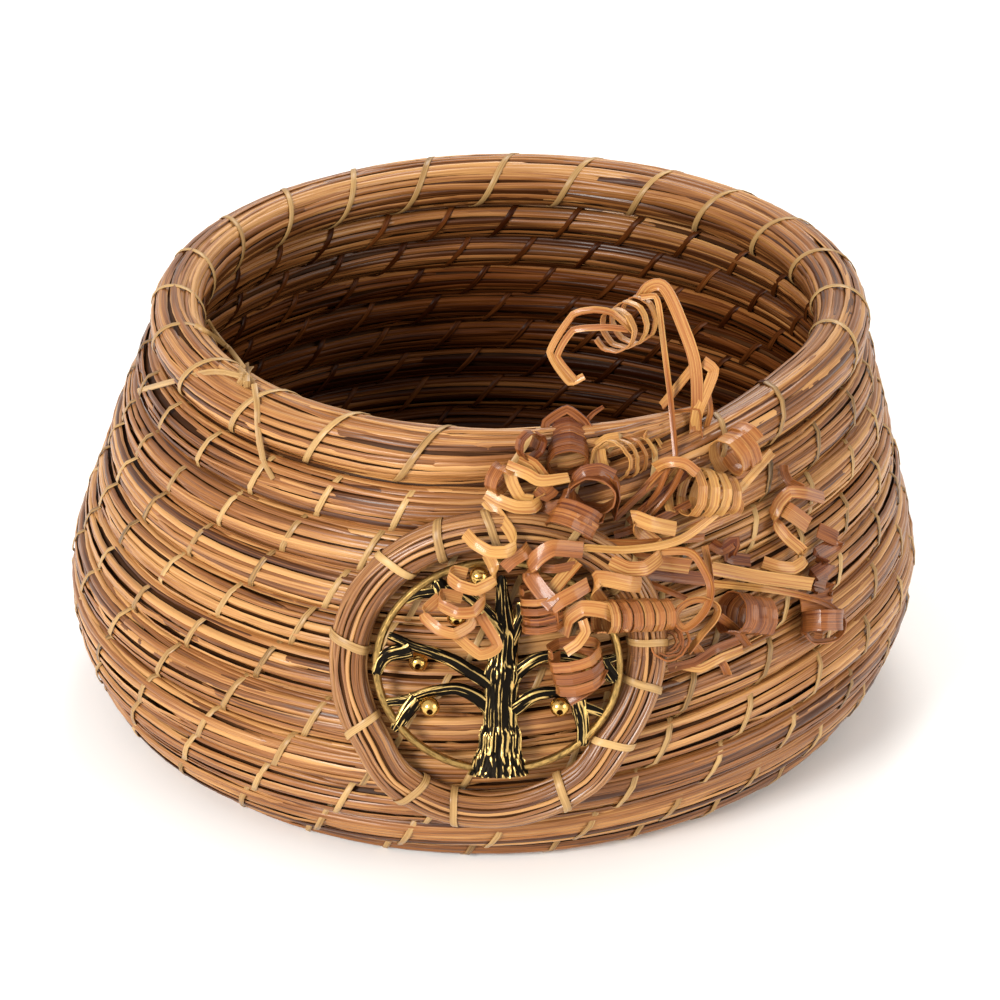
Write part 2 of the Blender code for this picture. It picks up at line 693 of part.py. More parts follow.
def add_strip(name, places, outs, width, away, group, material, carrier):
    sections = strip_sections(places, outs, 0.5 * width, 0.5 * STRIP_THICKNESS)
    bm = loft(sections)
    carrier.rest(bm, -away)
    piece = add_mesh(name, bm, material, group)
    carrier.add(piece)
    return piece


def wound_strip(name, values, group, material, carrier):
    """One strip rolled into loose curls."""
    azimuth, height_share, tip, way, stand, radius_share, curls, pitch_share = values
    radius = CURL_RADIUS * radius_share
    pitch = CURL_PITCH * pitch_share
    middle, along, up, away = rest_frame(azimuth, height_share, tip)
    lying = along * math.cos(math.radians(way)) + up * math.sin(math.radians(way))
    axis = lying * math.cos(math.radians(stand)) + away * math.sin(math.radians(stand))
    side = axis.cross(along if stand > 45 else away).normalized()
    over = axis.cross(side)
    places = []
    outs = []
    for k in range(int(curls * CURL_POINTS) + 1):
        around = 2 * math.pi * k / CURL_POINTS
        spoke = side * math.sin(around) - over * math.cos(around)
        slide = (k / CURL_POINTS - 0.5 * curls) * pitch
        places.append(middle + spoke * radius + axis * slide)
        outs.append(spoke)
    print(name + ": curls", curls, "least gap mm", round((pitch - STRIP_WIDTH) * 1000, 3))
    return add_strip(name, places, outs, STRIP_WIDTH, away, group, material, carrier)


def bent_strip(name, values, group, material, carrier):
    """One strip that lies along the wall in a shallow bow."""
    azimuth, height_share, way, length_share, bow_share = values
    length = STRIP_LENGTH * length_share
    middle, along, up, away = rest_frame(azimuth, height_share, 0)
    axis = along * math.cos(math.radians(way)) + up * math.sin(math.radians(way))
    places = []
    for k in range(BENT_POINTS):
        share = 2 * k / (BENT_POINTS - 1) - 1
        bow = length * bow_share * (1 - share * share)
        places.append(middle + axis * (0.5 * length * share) + away * bow)
    return add_strip(name, places, [away] * BENT_POINTS, STRIP_WIDTH, away, group, material, carrier)


def rising_points(azimuth, depth_share, shares):
    """Path that rises from the rim, in an upright plane that faces the ring's way."""
    along = wall_frame(RING_AZIMUTH, RIM_REACH, 0.0)[1]
    up = Vector((0, 0, 1))
    depth = along.cross(up) * (depth_share * TENDRIL_HEIGHT)
    root = wall_frame(math.radians(azimuth), RIM_REACH, 0.0)[0] + depth + up * (2 * START_LIFT)
    places = []
    for side_share, up_share in shares:
        places.append(root + along * (side_share * TENDRIL_HEIGHT) + up * (up_share * TENDRIL_HEIGHT))
    return places, along


def rising_strip(name, values, group, material, carrier):
    """One narrow strip that stands up from the rim."""
    places, along = rising_points(*values)
    face = along.cross(Vector((0, 0, 1)))
    outs = []
    for k in range(len(places)):
        run = places[min(k + 1, len(places) - 1)] - places[max(k - 1, 0)]
        outs.append(face.cross(run.normalized()))
    return add_strip(name, places, outs, TENDRIL_WIDTH, Vector((0, 0, 1)), group, material, carrier)


def make_tendril(group, material, carrier):
    """Tall strip that rises from the rim, curls forward and hangs out to one side."""
    rise, along = rising_points(TENDRIL_AZIMUTH, TENDRIL_DEPTH_SHARE, TENDRIL_SHARES)
    up = Vector((0, 0, 1))
    face = along.cross(up)
    axis = face * math.sin(TENDRIL_CURL_TURN) - along * math.cos(TENDRIL_CURL_TURN)
    side = axis.cross(up)
    middle = rise[-1] - up * TENDRIL_CURL_RADIUS
    count = int(TENDRIL_CURLS * CURL_POINTS)
    places = list(rise[:-1])
    spokes = []
    for k in range(count + 1):
        around = 2 * math.pi * k / CURL_POINTS
        spoke = up * math.cos(around) + side * math.sin(around)
        slide = TENDRIL_CURL_PITCH * k / CURL_POINTS
        places.append(middle + spoke * TENDRIL_CURL_RADIUS + axis * slide)
        spokes.append(spoke)
    forward = TENDRIL_CURLS * TENDRIL_CURL_PITCH * math.sin(TENDRIL_CURL_TURN)
    end_depth_share = TENDRIL_DEPTH_SHARE + forward / TENDRIL_HEIGHT
    places += rising_points(TENDRIL_AZIMUTH, end_depth_share, TENDRIL_END_SHARES)[0]
    outs = []
    for k in range(len(places)):
        if len(rise) - 1 <= k < len(rise) + count:
            outs.append(spokes[k - len(rise) + 1])
            continue
        run = places[min(k + 1, len(places) - 1)] - places[max(k - 1, 0)]
        outs.append(face.cross(run.normalized()))
    gap = TENDRIL_CURL_PITCH - TENDRIL_WIDTH
    print("tendril: curls", TENDRIL_CURLS, "least gap mm", round(gap * 1000, 3))
    return add_strip("tendril", places, outs, TENDRIL_WIDTH, up, group, material, carrier)


def make_tie(group, material, carrier):
    """Knot where the rim's thread is tied off, with the tail it leaves on the wall."""
    place, along, across, away = rest_frame(TIE_AZIMUTH, 1.0, 45)
    bm = bmesh.new()
    bmesh.ops.create_icosphere(bm, subdivisions=2, radius=KNOT_RADIUS)
    bmesh.ops.translate(bm, verts=bm.verts, vec=place)
    carrier.rest(bm, -away)
    knot = add_mesh("tie_knot", bm, material, group)
    carrier.add(knot)
    bent = (TIE_TAIL_AZIMUTH, TIE_TAIL_SHARE)
    middle, along, up, away = rest_frame(bent[0], bent[1], 0)
    places = []
    for k in range(BENT_POINTS):
        share = 2 * k / (BENT_POINTS - 1) - 1
        places.append(middle - up * (0.5 * TIE_LENGTH * share) + along * (TIE_SWAY * share * share))
    sections = strip_sections(places, [away] * BENT_POINTS, 0.5 * THREAD_WIDTH, 0.5 * THREAD_THICKNESS)
    bm = loft(sections)
    carrier.rest(bm, -away)
    tail = add_mesh("tie_tail", bm, material, group)
    carrier.add(tail)


def main():
    clear_scene()
    group = make_collection(COLLECTION)
    cutters = make_collection(COLLECTION + "_cutters")
    grass = finish("grass", (0.36, 0.16, 0.06), 0.5)
    straw = finish("straw_thread", (0.62, 0.42, 0.18), 0.5)
    ring_grass = finish("ring_grass", (0.40, 0.19, 0.09), 0.4)
    gold = finish("antique_gold", (0.55, 0.36, 0.12), 0.35, 1.0)
    bead_gold = finish("bead_gold", (0.80, 0.55, 0.18), 0.25, 1.0)
    strip = finish("curled_strip", (0.55, 0.28, 0.12), 0.35)
    carrier = Carrier()
    carrier.add(make_coil(group, cutters, grass))
    make_start(group, grass)
    carrier.add(make_rim_thread(group, straw))
    carrier.add(make_ring(group, ring_grass))
    carrier.add(make_ring_thread(group, straw))
    carrier.add(make_tree(group, cutters, gold))
    make_beads(group, cutters, bead_gold, carrier)
    make_tie(group, straw, carrier)
    for name, values in CURL_SHARES.items():
        wound_strip(name, values, group, strip, carrier)
    for name, values in BENT_SHARES.items():
        bent_strip(name, values, group, strip, carrier)
    for name, values in RISING_SHARES.items():
        rising_strip(name, values, group, strip, carrier)
    make_tendril(group, strip, carrier)


main()
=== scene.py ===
# %% [markdown]
# Coiled grass basket, as a lesson in cells.
#
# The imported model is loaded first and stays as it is: it says where everything sits.
# The real basket is one long bundle of dried grass blades, coiled up and sewn with a
# flat straw thread. On its front a grass ring frames a cast tree, and curled strips
# spread over the rim beside it. Each cell below dresses one of these.

# %% Load the fixed frame
import math

import bmesh
import bpy
import numpy as np
from mathutils import Matrix, Vector, noise


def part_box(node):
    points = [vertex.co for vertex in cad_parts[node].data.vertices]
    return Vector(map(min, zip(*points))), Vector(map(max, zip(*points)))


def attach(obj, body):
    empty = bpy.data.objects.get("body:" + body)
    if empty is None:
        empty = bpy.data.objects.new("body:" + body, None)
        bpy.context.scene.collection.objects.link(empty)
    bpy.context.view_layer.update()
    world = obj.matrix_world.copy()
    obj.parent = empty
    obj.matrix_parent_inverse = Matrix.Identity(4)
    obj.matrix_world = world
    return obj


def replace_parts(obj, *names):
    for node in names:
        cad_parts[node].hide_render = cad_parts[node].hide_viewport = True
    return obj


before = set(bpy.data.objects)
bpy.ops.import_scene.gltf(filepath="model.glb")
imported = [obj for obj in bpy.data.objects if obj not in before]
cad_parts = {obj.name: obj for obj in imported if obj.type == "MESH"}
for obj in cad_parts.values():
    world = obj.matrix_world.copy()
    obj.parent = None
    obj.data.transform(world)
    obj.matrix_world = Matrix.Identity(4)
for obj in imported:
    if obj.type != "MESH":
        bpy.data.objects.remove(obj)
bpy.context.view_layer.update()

# %% [markdown]
# ## Camera
#
# A long lens from a little above, as the photograph was taken: about 28 degrees above
# the horizon and 0.7 m away, which keeps the mouth's far side nearly as wide as its
# near side. The small shift and roll only frame the basket as the picture does. The
# same numbers turn a spot of the picture into a sight line, which later places the
# small curled strips on the wall.

# %% Camera
def link_new(name, data):
    """New object with this data, linked to the scene."""
    made = bpy.data.objects.new(name, data)
    bpy.context.scene.collection.objects.link(made)
    return made


IMAGE = 1000
SENSOR = 36.0
EYE_HEIGHT = math.radians(27.6)
EYE_DISTANCE = 0.7
EYE_TARGET = Vector((0.0, 0.0, 0.045))
FOCUS = 3353.0
SHIFT_RIGHT, SHIFT_UP = -15.9, -28.1
ROLL = math.radians(0.22)

eye_back = Vector((0, -math.cos(EYE_HEIGHT), math.sin(EYE_HEIGHT)))
level_right = Vector((1, 0, 0))
level_up = Vector((0, math.sin(EYE_HEIGHT), math.cos(EYE_HEIGHT)))
eye_right = level_right * math.cos(ROLL) - level_up * math.sin(ROLL)
eye_up = level_up * math.cos(ROLL) + level_right * math.sin(ROLL)
eye = EYE_TARGET + eye_back * EYE_DISTANCE

lens = bpy.data.cameras.new("camera")
lens.sensor_width = SENSOR
lens.lens = FOCUS * SENSOR / IMAGE
lens.shift_x = -SHIFT_RIGHT / IMAGE
lens.shift_y = SHIFT_UP / IMAGE
camera = link_new("camera", lens)
turn_to = np.array((eye_right, eye_up, eye_back)).T
camera.matrix_world = Matrix([[*turn_to[k], eye[k]] for k in range(3)] + [[0, 0, 0, 1]])
bpy.context.scene.camera = camera
print("lens mm", round(lens.lens, 1))

# %% [markdown]
# ## Floor and light
#
# A plain, nearly white floor, and soft studio light: one wide lamp low on the front
# left, a weaker one on the right, and one behind for the rim. They are area lamps, so
# their edges stay soft on the glossy blades, and a little warm. The world gives the pale
# surroundings.

# %% Floor and light
def new_material(name):
    """Material with its node tree and its shader."""
    made = bpy.data.materials.new(name)
    made.use_nodes = True
    return made, made.node_tree, made.node_tree.nodes["Principled BSDF"]


def stage_floor(size):
    bm = bmesh.new()
    bmesh.ops.create_grid(bm, x_segments=1, y_segments=1, size=size)
    mesh = bpy.data.meshes.new("floor")
    bm.to_mesh(mesh)
    bm.free()
    floor = link_new("floor", mesh)
    paint, _, shader = new_material("floor_paint")
    shader.inputs["Base Color"].default_value = (0.93, 0.93, 0.93, 1)
    shader.inputs["Roughness"].default_value = 0.9
    mesh.materials.append(paint)


def soft_lamp(name, place, width, power, colour):
    data = bpy.data.lights.new(name, "AREA")
    data.shape = "DISK"
    data.size = width
    data.energy = power
    data.color = colour
    lamp = link_new(name, data)
    lamp.location = place
    lamp.rotation_euler = (LAMP_AIM - Vector(place)).to_track_quat("-Z", "Y").to_euler()


FLOOR_SIZE = 4.0
LAMP_AIM = Vector((0, 0, 0.05))
stage_floor(FLOOR_SIZE)
# Place in metres, width, power in watts, colour
soft_lamp("key_left", (-0.6, -0.8, 0.52), 0.4, 13, (1.0, 0.96, 0.91))
soft_lamp("fill_right", (0.85, -0.55, 0.4), 0.6, 5, (1.0, 0.94, 0.84))
soft_lamp("rim_back", (0.1, 0.7, 0.9), 0.5, 6, (1.0, 0.96, 0.9))
bpy.context.scene.view_settings.view_transform = "Standard"
world = bpy.data.worlds.new("studio")
world.use_nodes = True
world.node_tree.nodes["Background"].inputs["Color"].default_value = (1, 1, 1, 1)
world.node_tree.nodes["Background"].inputs["Strength"].default_value = 0.8
bpy.context.scene.world = world

# %% [markdown]
# ## The way of the coil
#
# The bundle runs out over the base, up round the belly and in to the rim. These are
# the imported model's own sizes, so the blades lie where its tube lies. Upper rows run
# level and climb to the next row below the curled strips, which hide the step on the
# real basket too. Everything is worked out once in tables of points along the way.

# %% Profile of the wall
MM = 0.001
BUNDLE_RADIUS, RIM_RADIUS = 3.85 * MM, 5.2 * MM
ROW_GAP, RIM_GAP, START_GAP = 0.9 * MM, 1.4 * MM, 0.4 * MM
START_RADIUS = 4.2 * MM
BASE_RADIUS, BELLY_RADIUS, NECK_RADIUS = 68.5 * MM, 84.0 * MM, 67.3 * MM
BELLY_HEIGHT, RIM_HEIGHT = 30.0 * MM, 82.9 * MM
FLOOR_ROW_HEIGHT = BUNDLE_RADIUS * 0.8
LEAN = 0.065
WALL_CURVE = 1.1
TIP_SHARE = 0.16
PROFILE_STEPS = 240
LEVEL, END = 0.78, 0.93
COIL_START = math.radians(330)

quarter = np.linspace(0, math.pi / 2, PROFILE_STEPS)
rise = np.linspace(0, 1, PROFILE_STEPS)[1:]
PROFILE_R = np.concatenate([[0], BASE_RADIUS + (BELLY_RADIUS - BASE_RADIUS) * np.sin(quarter),
                            BELLY_RADIUS - (BELLY_RADIUS - NECK_RADIUS) * rise ** WALL_CURVE])
PROFILE_Z = np.concatenate([[FLOOR_ROW_HEIGHT],
                            FLOOR_ROW_HEIGHT
                            + (BELLY_HEIGHT - FLOOR_ROW_HEIGHT) * (1 - np.cos(quarter)),
                            BELLY_HEIGHT + (RIM_HEIGHT - BELLY_HEIGHT) * rise])
PROFILE_REACH = np.concatenate([[0], np.cumsum(np.hypot(np.diff(PROFILE_R), np.diff(PROFILE_Z)))])
RIM_REACH = float(PROFILE_REACH[-1])


def on_profile(reach):
    return np.interp(reach, PROFILE_REACH, PROFILE_R), np.interp(reach, PROFILE_REACH, PROFILE_Z)


def next_row(reach, pitch):
    start = np.array(on_profile(reach))
    ahead = reach + pitch
    for _ in range(6):
        ahead += pitch - float(np.linalg.norm(np.array(on_profile(ahead)) - start))
    return ahead


def spaced_rows(first, last, pitch):
    rows = [first]
    while next_row(rows[-1], pitch) <= last:
        rows.append(next_row(rows[-1], pitch))
    for _ in range(12):
        pitch *= (last - first) / (rows[-1] - first)
        for k in range(1, len(rows)):
            rows[k] = next_row(rows[k - 1], pitch)
    return rows


row_reaches = spaced_rows(START_RADIUS + START_GAP + BUNDLE_RADIUS,
                          RIM_REACH - RIM_RADIUS - RIM_GAP - BUNDLE_RADIUS,
                          2 * BUNDLE_RADIUS + ROW_GAP)
ROWS = len(row_reaches) - 1
row_reaches.append(RIM_REACH)
print("rows", ROWS + 2, "rim reach mm", round(RIM_REACH / MM, 1))

# %% Tables along the coil
def smooth(share):
    share = min(max(share, 0.0), 1.0)
    return share * share * (3 - 2 * share)


def coil_state(turn):
    """Reach and bundle radius after so many turns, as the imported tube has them."""
    row = min(int(turn), ROWS + 1)
    part = turn - row
    climb = smooth((part - LEVEL) / (1 - LEVEL))
    if row == ROWS + 1:
        if part <= LEVEL:
            return RIM_REACH, RIM_RADIUS
        below, below_radius = coil_state(turn - 1)
        room = RIM_REACH + RIM_RADIUS - below - below_radius - RIM_GAP
        radius = max(0.5 * room, TIP_SHARE * RIM_RADIUS)
        return below + below_radius + RIM_GAP + radius, radius
    settle = min(1.0, turn / ROWS)
    share = part + (climb - part) * settle
    reach = row_reaches[row] + (row_reaches[row + 1] - row_reaches[row]) * share
    return reach, BUNDLE_RADIUS + (RIM_RADIUS - BUNDLE_RADIUS) * climb * (row == ROWS)


LAST_TURN = ROWS + 1 + END
TURNS = np.linspace(0, LAST_TURN, 4000)
REACHES, RADII = np.array([coil_state(t) for t in TURNS]).T


def radius_at(turn):
    """Distance of the bundle's middle from the basket's, after so many turns."""
    return float(np.interp(np.interp(turn, TURNS, REACHES), PROFILE_REACH, PROFILE_R))


def profile_way(reach):
    """Upward direction of the profile, as its share outward and its share upward."""
    within = np.clip(reach, 0, RIM_REACH)
    r0, z0 = on_profile(np.maximum(within - 0.5 * BUNDLE_RADIUS, 0))
    r1, z1 = on_profile(np.minimum(within + 0.5 * BUNDLE_RADIUS, RIM_REACH))
    length = np.hypot(r1 - r0, z1 - z0)
    return (r1 - r0) / length, (z1 - z0) / length


def coil_spot(turn, around, off):
    """Points off the bundle's middle line, and the direction away from it.

    around is the angle in the bundle's section: 0 faces out of the wall, 90 up it.
    """
    reach = np.interp(turn, TURNS, REACHES)
    radius, height = on_profile(np.minimum(reach, RIM_REACH))
    up_r, up_z = profile_way(reach)
    beyond = np.maximum(reach - RIM_REACH, 0)
    away_r = np.cos(around) * up_z + np.sin(around) * up_r
    away_z = -np.cos(around) * up_r + np.sin(around) * up_z
    radius = radius + up_r * beyond + away_r * off
    height = height + up_z * beyond + away_z * off
    azimuth = COIL_START + 2 * math.pi * turn
    x = radius * np.cos(azimuth) + LEAN * (height - FLOOR_ROW_HEIGHT)
    places = np.stack([x, radius * np.sin(azimuth), height], axis=1)
    away = np.stack([away_r * np.cos(azimuth), away_r * np.sin(azimuth), away_z], axis=1)
    return places, away, np.arctan2(away_r, away_z)


mean_radius = float(np.interp(REACHES, PROFILE_REACH, PROFILE_R).mean())
print("coil length m", round(mean_radius * 2 * math.pi * LAST_TURN, 2))

# %% [markdown]
# ## Grain of a blade
#
# A dried blade is glossy, has fine lengthwise veins, and no two have the same brown.
# Every made mesh carries an attribute called grain: how far across the blade a point
# lies, how far along it, both in millimetres, and a tone of its own for each blade. One
# node group turns these into colour, roughness and a fine relief, so the pattern
# follows each blade round the coil, where a pattern in object space would cut across.

# %% Shared group for dried blades
def node(tree, kind, **settings):
    made = tree.nodes.new(kind)
    for key, value in settings.items():
        setattr(made, key, value)
    return made


def maths(tree, operation, first, second=0.5, third=0.5):
    """One Math node; numbers go on its sockets, outputs are linked to them."""
    made = node(tree, "ShaderNodeMath", operation=operation)
    for slot, value in zip(made.inputs, (first, second, third)):
        if isinstance(value, (int, float)):
            slot.default_value = value
        else:
            tree.links.new(value, slot)
    return made.outputs[0]


def ramp(tree, value, stops):
    """Colour ramp with the given places and colours."""
    made = node(tree, "ShaderNodeValToRGB")
    tree.links.new(value, made.inputs[0])
    while len(made.color_ramp.elements) < len(stops):
        made.color_ramp.elements.new(0.5)
    for element, (place, colour) in zip(made.color_ramp.elements, stops):
        element.position = place
        element.color = (*colour, 1)
    return made.outputs[0]


def mix(tree, factor, first, second):
    made = node(tree, "ShaderNodeMix", data_type="RGBA")
    for slot, value in zip((made.inputs[0], *made.inputs[6:8]), (factor, first, second)):
        tree.links.new(value, slot)
    return made.outputs[2]


def add_bump(tree, shader, height, strength, distance):
    bump = node(tree, "ShaderNodeBump")
    bump.inputs["Strength"].default_value = strength
    bump.inputs["Distance"].default_value = distance
    tree.links.new(height, bump.inputs["Height"])
    tree.links.new(bump.outputs[0], shader.inputs["Normal"])


def grain_parts(tree):
    """The grain attribute, and its tone."""
    grain = node(tree, "ShaderNodeAttribute", attribute_name="grain").outputs["Vector"]
    parts = node(tree, "ShaderNodeSeparateXYZ")
    tree.links.new(grain, parts.inputs[0])
    return grain, parts.outputs[2]


def grain_noise(tree, grain, scales, detail=2.0):
    """Noise stretched along the blade, from the grain attribute."""
    moved = node(tree, "ShaderNodeVectorMath", operation="MULTIPLY")
    tree.links.new(grain, moved.inputs[0])
    moved.inputs[1].default_value = scales
    made = node(tree, "ShaderNodeTexNoise", noise_dimensions="3D")
    made.inputs["Scale"].default_value = 1.0
    made.inputs["Detail"].default_value = detail
    tree.links.new(moved.outputs[0], made.inputs["Vector"])
    return made.outputs[0]


def make_blade_group():
    tree = bpy.data.node_groups.new("dried_blade", "ShaderNodeTree")
    for name, way, kind in (("Dark", "INPUT", "Color"), ("Middle", "INPUT", "Color"),
                            ("Light", "INPUT", "Color"), ("Color", "OUTPUT", "Color"),
                            ("Roughness", "OUTPUT", "Float"), ("Height", "OUTPUT", "Float")):
        tree.interface.new_socket(name=name, in_out=way, socket_type="NodeSocket" + kind)
    come = node(tree, "NodeGroupInput")
    go = node(tree, "NodeGroupOutput")
    grain, number = grain_parts(tree)
    tone = maths(tree, "FRACT", number)
    patches = grain_noise(tree, grain, (0.15, 0.03, 17.0))
    veins = grain_noise(tree, grain, (4.5, 0.05, 17.0), 3.0)
    shade = maths(tree, "ADD", tone, maths(tree, "MULTIPLY_ADD", patches, 1.1, -0.55))
    shade = maths(tree, "ADD", shade, maths(tree, "MULTIPLY_ADD", veins, 1.3, -0.65))
    low_part = maths(tree, "MULTIPLY", shade, 2.0)
    low = mix(tree, low_part, come.outputs["Dark"], come.outputs["Middle"])
    high_part = maths(tree, "MULTIPLY_ADD", shade, 2.0, -1.0)
    clear = node(tree, "ShaderNodeClamp")
    tree.links.new(high_part, clear.inputs[0])
    body = mix(tree, clear.outputs[0], low, come.outputs["Light"])
    tree.links.new(body, go.inputs["Color"])
    rough = maths(tree, "MULTIPLY_ADD", veins, 0.35, 0.18)
    tree.links.new(rough, go.inputs["Roughness"])
    tree.links.new(veins, go.inputs["Height"])
    return tree


blade_group = make_blade_group()
print("group", blade_group.name, [item.name for item in blade_group.interface.items_tree])

# %% Finishes of grass and thread
def blade_finish(name, dark, middle, light, coat, relief, shine):
    """Material of a dried blade, with its three browns."""
    material, tree, shader = new_material(name)
    group = node(tree, "ShaderNodeGroup", node_tree=blade_group)
    for key, colour in (("Dark", dark), ("Middle", middle), ("Light", light)):
        group.inputs[key].default_value = (*colour, 1)
    tree.links.new(group.outputs["Color"], shader.inputs["Base Color"])
    tree.links.new(group.outputs["Roughness"], shader.inputs["Roughness"])
    add_bump(tree, shader, group.outputs["Height"], relief, 0.1 * MM)
    shader.inputs["Coat Weight"].default_value = coat
    shader.inputs["Specular IOR Level"].default_value = shine
    shader.inputs["Coat Roughness"].default_value = 0.13
    return material


# Each finish: the three browns, then coat, relief and shine
grass = blade_finish("grass_blades", (0.055, 0.016, 0.004), (0.25, 0.093, 0.024),
                     (0.49, 0.25, 0.085), 0.08, 0.6, 0.3)
straw = blade_finish("straw", (0.035, 0.018, 0.006), (0.29, 0.16, 0.055),
                     (0.48, 0.30, 0.12), 0.0, 0.6, 0.3)
ring_grass = blade_finish("ring_strands", (0.045, 0.012, 0.003), (0.21, 0.08, 0.022),
                          (0.41, 0.205, 0.068), 0.15, 0.6, 0.4)
# Painted shade: darker browns for the blades and thread on the basket's shaded inside
painted_shade_grass = blade_finish("grass_painted_shade", (0.028, 0.006, 0.001), (0.12, 0.034, 0.007),
                           (0.26, 0.10, 0.026), 0.0, 0.6, 0.08)
# Painted shade: near black browns stand in for the shade inside the bundle and the ring
bundle_dark = blade_finish("bundle_inside", (0.014, 0.005, 0.002), (0.046, 0.017, 0.006),
                           (0.105, 0.042, 0.015), 0.0, 0.3, 0.05)
print("finishes so far", [made.name for made in bpy.data.materials])

# %% [markdown]
# ## Sweeping blades along the coil
#
# A blade is a long thin solid. It could be extruded by hand, but a curve with a small
# flat profile does the same for hundreds of blades at once, and a tilt at each point
# keeps the flat side against the bundle. The curve is then made a mesh, so that each
# blade can carry its grain.

# %% Sweep helper
def circle(count, wide, high):
    """Corners of a closed round section or an oval one."""
    return [(wide * math.cos(a), high * math.sin(a))
            for a in np.linspace(0, 2 * math.pi, count, endpoint=False)]


def blade_profile(name, shape):
    """Closed flat curve that is swept; shape lists places across and up, in mm."""
    data = bpy.data.curves.new(name, "CURVE")
    data.dimensions = "2D"
    spline = data.splines.new("POLY")
    spline.points.add(len(shape) - 1)
    for point, (x, y) in zip(spline.points, shape):
        point.co = (x * MM, y * MM, 0, 1)
    spline.use_cyclic_u = True
    return link_new(name, data)


SHARP = 40


def add_piece(name, mesh, material, sharp=SHARP):
    """Link a finished mesh as one piece that rides on the basket."""
    mesh.name = name
    mesh.shade_smooth()
    mesh.set_sharp_from_angle(angle=math.radians(sharp))
    mesh.materials.clear()
    mesh.materials.append(material)
    piece = link_new(name, mesh)
    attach(piece, "root")
    return piece


def sweep(name, routes, profile, material):
    """Sweep the profile along routes of (places, tilts, sizes, tone) into one piece."""
    data = bpy.data.curves.new(name, "CURVE")
    data.dimensions = "3D"
    data.twist_mode = "Z_UP"
    data.bevel_mode = "OBJECT"
    data.bevel_object = profile
    data.use_fill_caps = True
    for places, tilts, sizes, _ in routes:
        spline = data.splines.new("POLY")
        spline.points.add(len(places) - 1)
        spline.points.foreach_set("co", np.insert(places, 3, 1, axis=1).ravel())
        spline.points.foreach_set("tilt", tilts)
        spline.points.foreach_set("radius", sizes)
    curve = link_new(name + "_curve", data)
    bpy.context.view_layer.update()
    evaluated = curve.evaluated_get(bpy.context.evaluated_depsgraph_get())
    mesh = bpy.data.meshes.new_from_object(evaluated)
    bpy.data.objects.remove(curve)
    across = [point.co.x / MM for point in profile.data.splines[0].points]
    grain = []
    for _, _, _, tone in reversed(routes):
        ends = [[x, 0, tone] for x in across]
        grain.append(np.array(ends + ends))
    for places, _, sizes, tone in routes:
        steps = np.linalg.norm(np.diff(places, axis=0), axis=1)
        along = np.concatenate([[0], np.cumsum(steps)]) / MM
        rows = np.stack([np.outer(sizes, across), np.repeat(along[:, None], len(across), axis=1),
                         np.full((len(places), len(across)), tone)], axis=2)
        grain.append(rows.reshape(-1, 3))
    layer = mesh.attributes.new("grain", "FLOAT_VECTOR", "POINT")
    layer.data.foreach_set("vector", np.concatenate(grain).astype(np.float32).ravel())
    bm = bmesh.new()
    bm.from_mesh(mesh)
    for vert in bm.verts:
        vert.co.z = max(vert.co.z, 0.0)
    bmesh.ops.remove_doubles(bm, verts=bm.verts, dist=0.001 * MM)
    bmesh.ops.recalc_face_normals(bm, faces=bm.faces)
    bm.to_mesh(mesh)
    bm.free()
    print(name, "routes", len(routes), "faces", len(mesh.polygons))
    return add_piece(name, mesh, material)


# %% [markdown]
# ## The dark inside of the bundle
#
# Between the blades one looks into the shade inside the bundle. A plain dark tube a
# little thinner than the bundle gives that shade. A thin one in the groove between the
# rows closes the seam, as the pulled thread does, so no light leaks through.

# %% Inside of the bundle
def make_inside(name, first, last):
    turns = np.arange(first, last, 1 / 64)
    places, _, _ = coil_spot(turns, np.zeros(len(turns)), 0.0)
    sizes = np.interp(turns, TURNS, RADII) - INSIDE_DEPTH
    bundle = (places, np.zeros(len(turns)), sizes / MM, 0.5)
    below = turns[turns < last - 1]
    gap_low = np.interp(below, TURNS, REACHES + RADII)
    gap_high = np.interp(below + 1, TURNS, REACHES - RADII)
    middle = 0.5 * (gap_low + gap_high) - np.interp(below, TURNS, REACHES)
    places, _, _ = coil_spot(below, np.full(len(below), math.pi / 2), middle)
    groove = (places, np.zeros(len(below)), np.full(len(below), SEAM_RADIUS / MM), 0.5)
    piece = sweep(name, [bundle, groove], inside_profile, bundle_dark)
    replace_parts(piece, "grass_coil")


SEAM_RADIUS = 1.3 * MM
INSIDE_DEPTH = 0.55 * MM
inside_profile = blade_profile("inside_profile", circle(12, 1.0, 1.0))
make_inside("bundle_inside", 0.0, LAST_TURN)

# %% [markdown]
# ## Blades of the bundle
#
# Some two dozen chains of blades lie side by side round the bundle. Each blade is 12 to
# 26 cm long, wanders a little, and sinks into the bundle at its ends, where the next one
# takes over, as when a maker feeds new grass in. More ride on top, and some of these lie
# over the groove between two rows. The bundle is a little fuller than round, because the
# rows are pulled tight against each other. The hidden inner side is painted with shade: its blades
# get lower tones, and darker browns below the neck.

# %% Lay the blades
LEAST_RADIUS = 6 * MM
RIM_FROM = BUNDLE_RADIUS * 1.02
END_SINK = 1.5 * MM
FLOOR_LIFT = 0.35 * MM
BLADE_OVERLAP = 12 * MM
rng = np.random.default_rng(7)
flat_profile = blade_profile("flat_profile", [(1.0, 0.0), (0.6, 0.36), (0.0, 0.48), (-0.6, 0.36),
                                              (-1.0, 0.0), (-0.5, -0.3), (0.5, -0.3)])


def fullness(angle, bundle):
    """How much fuller than round the bundle lies at an angle: the rim's is left round."""
    full = (np.abs(np.cos(angle)) ** 3.2 + np.abs(np.sin(angle)) ** 3.2) ** (-1 / 3.2)
    return np.where(bundle > RIM_FROM, 1.0, full)


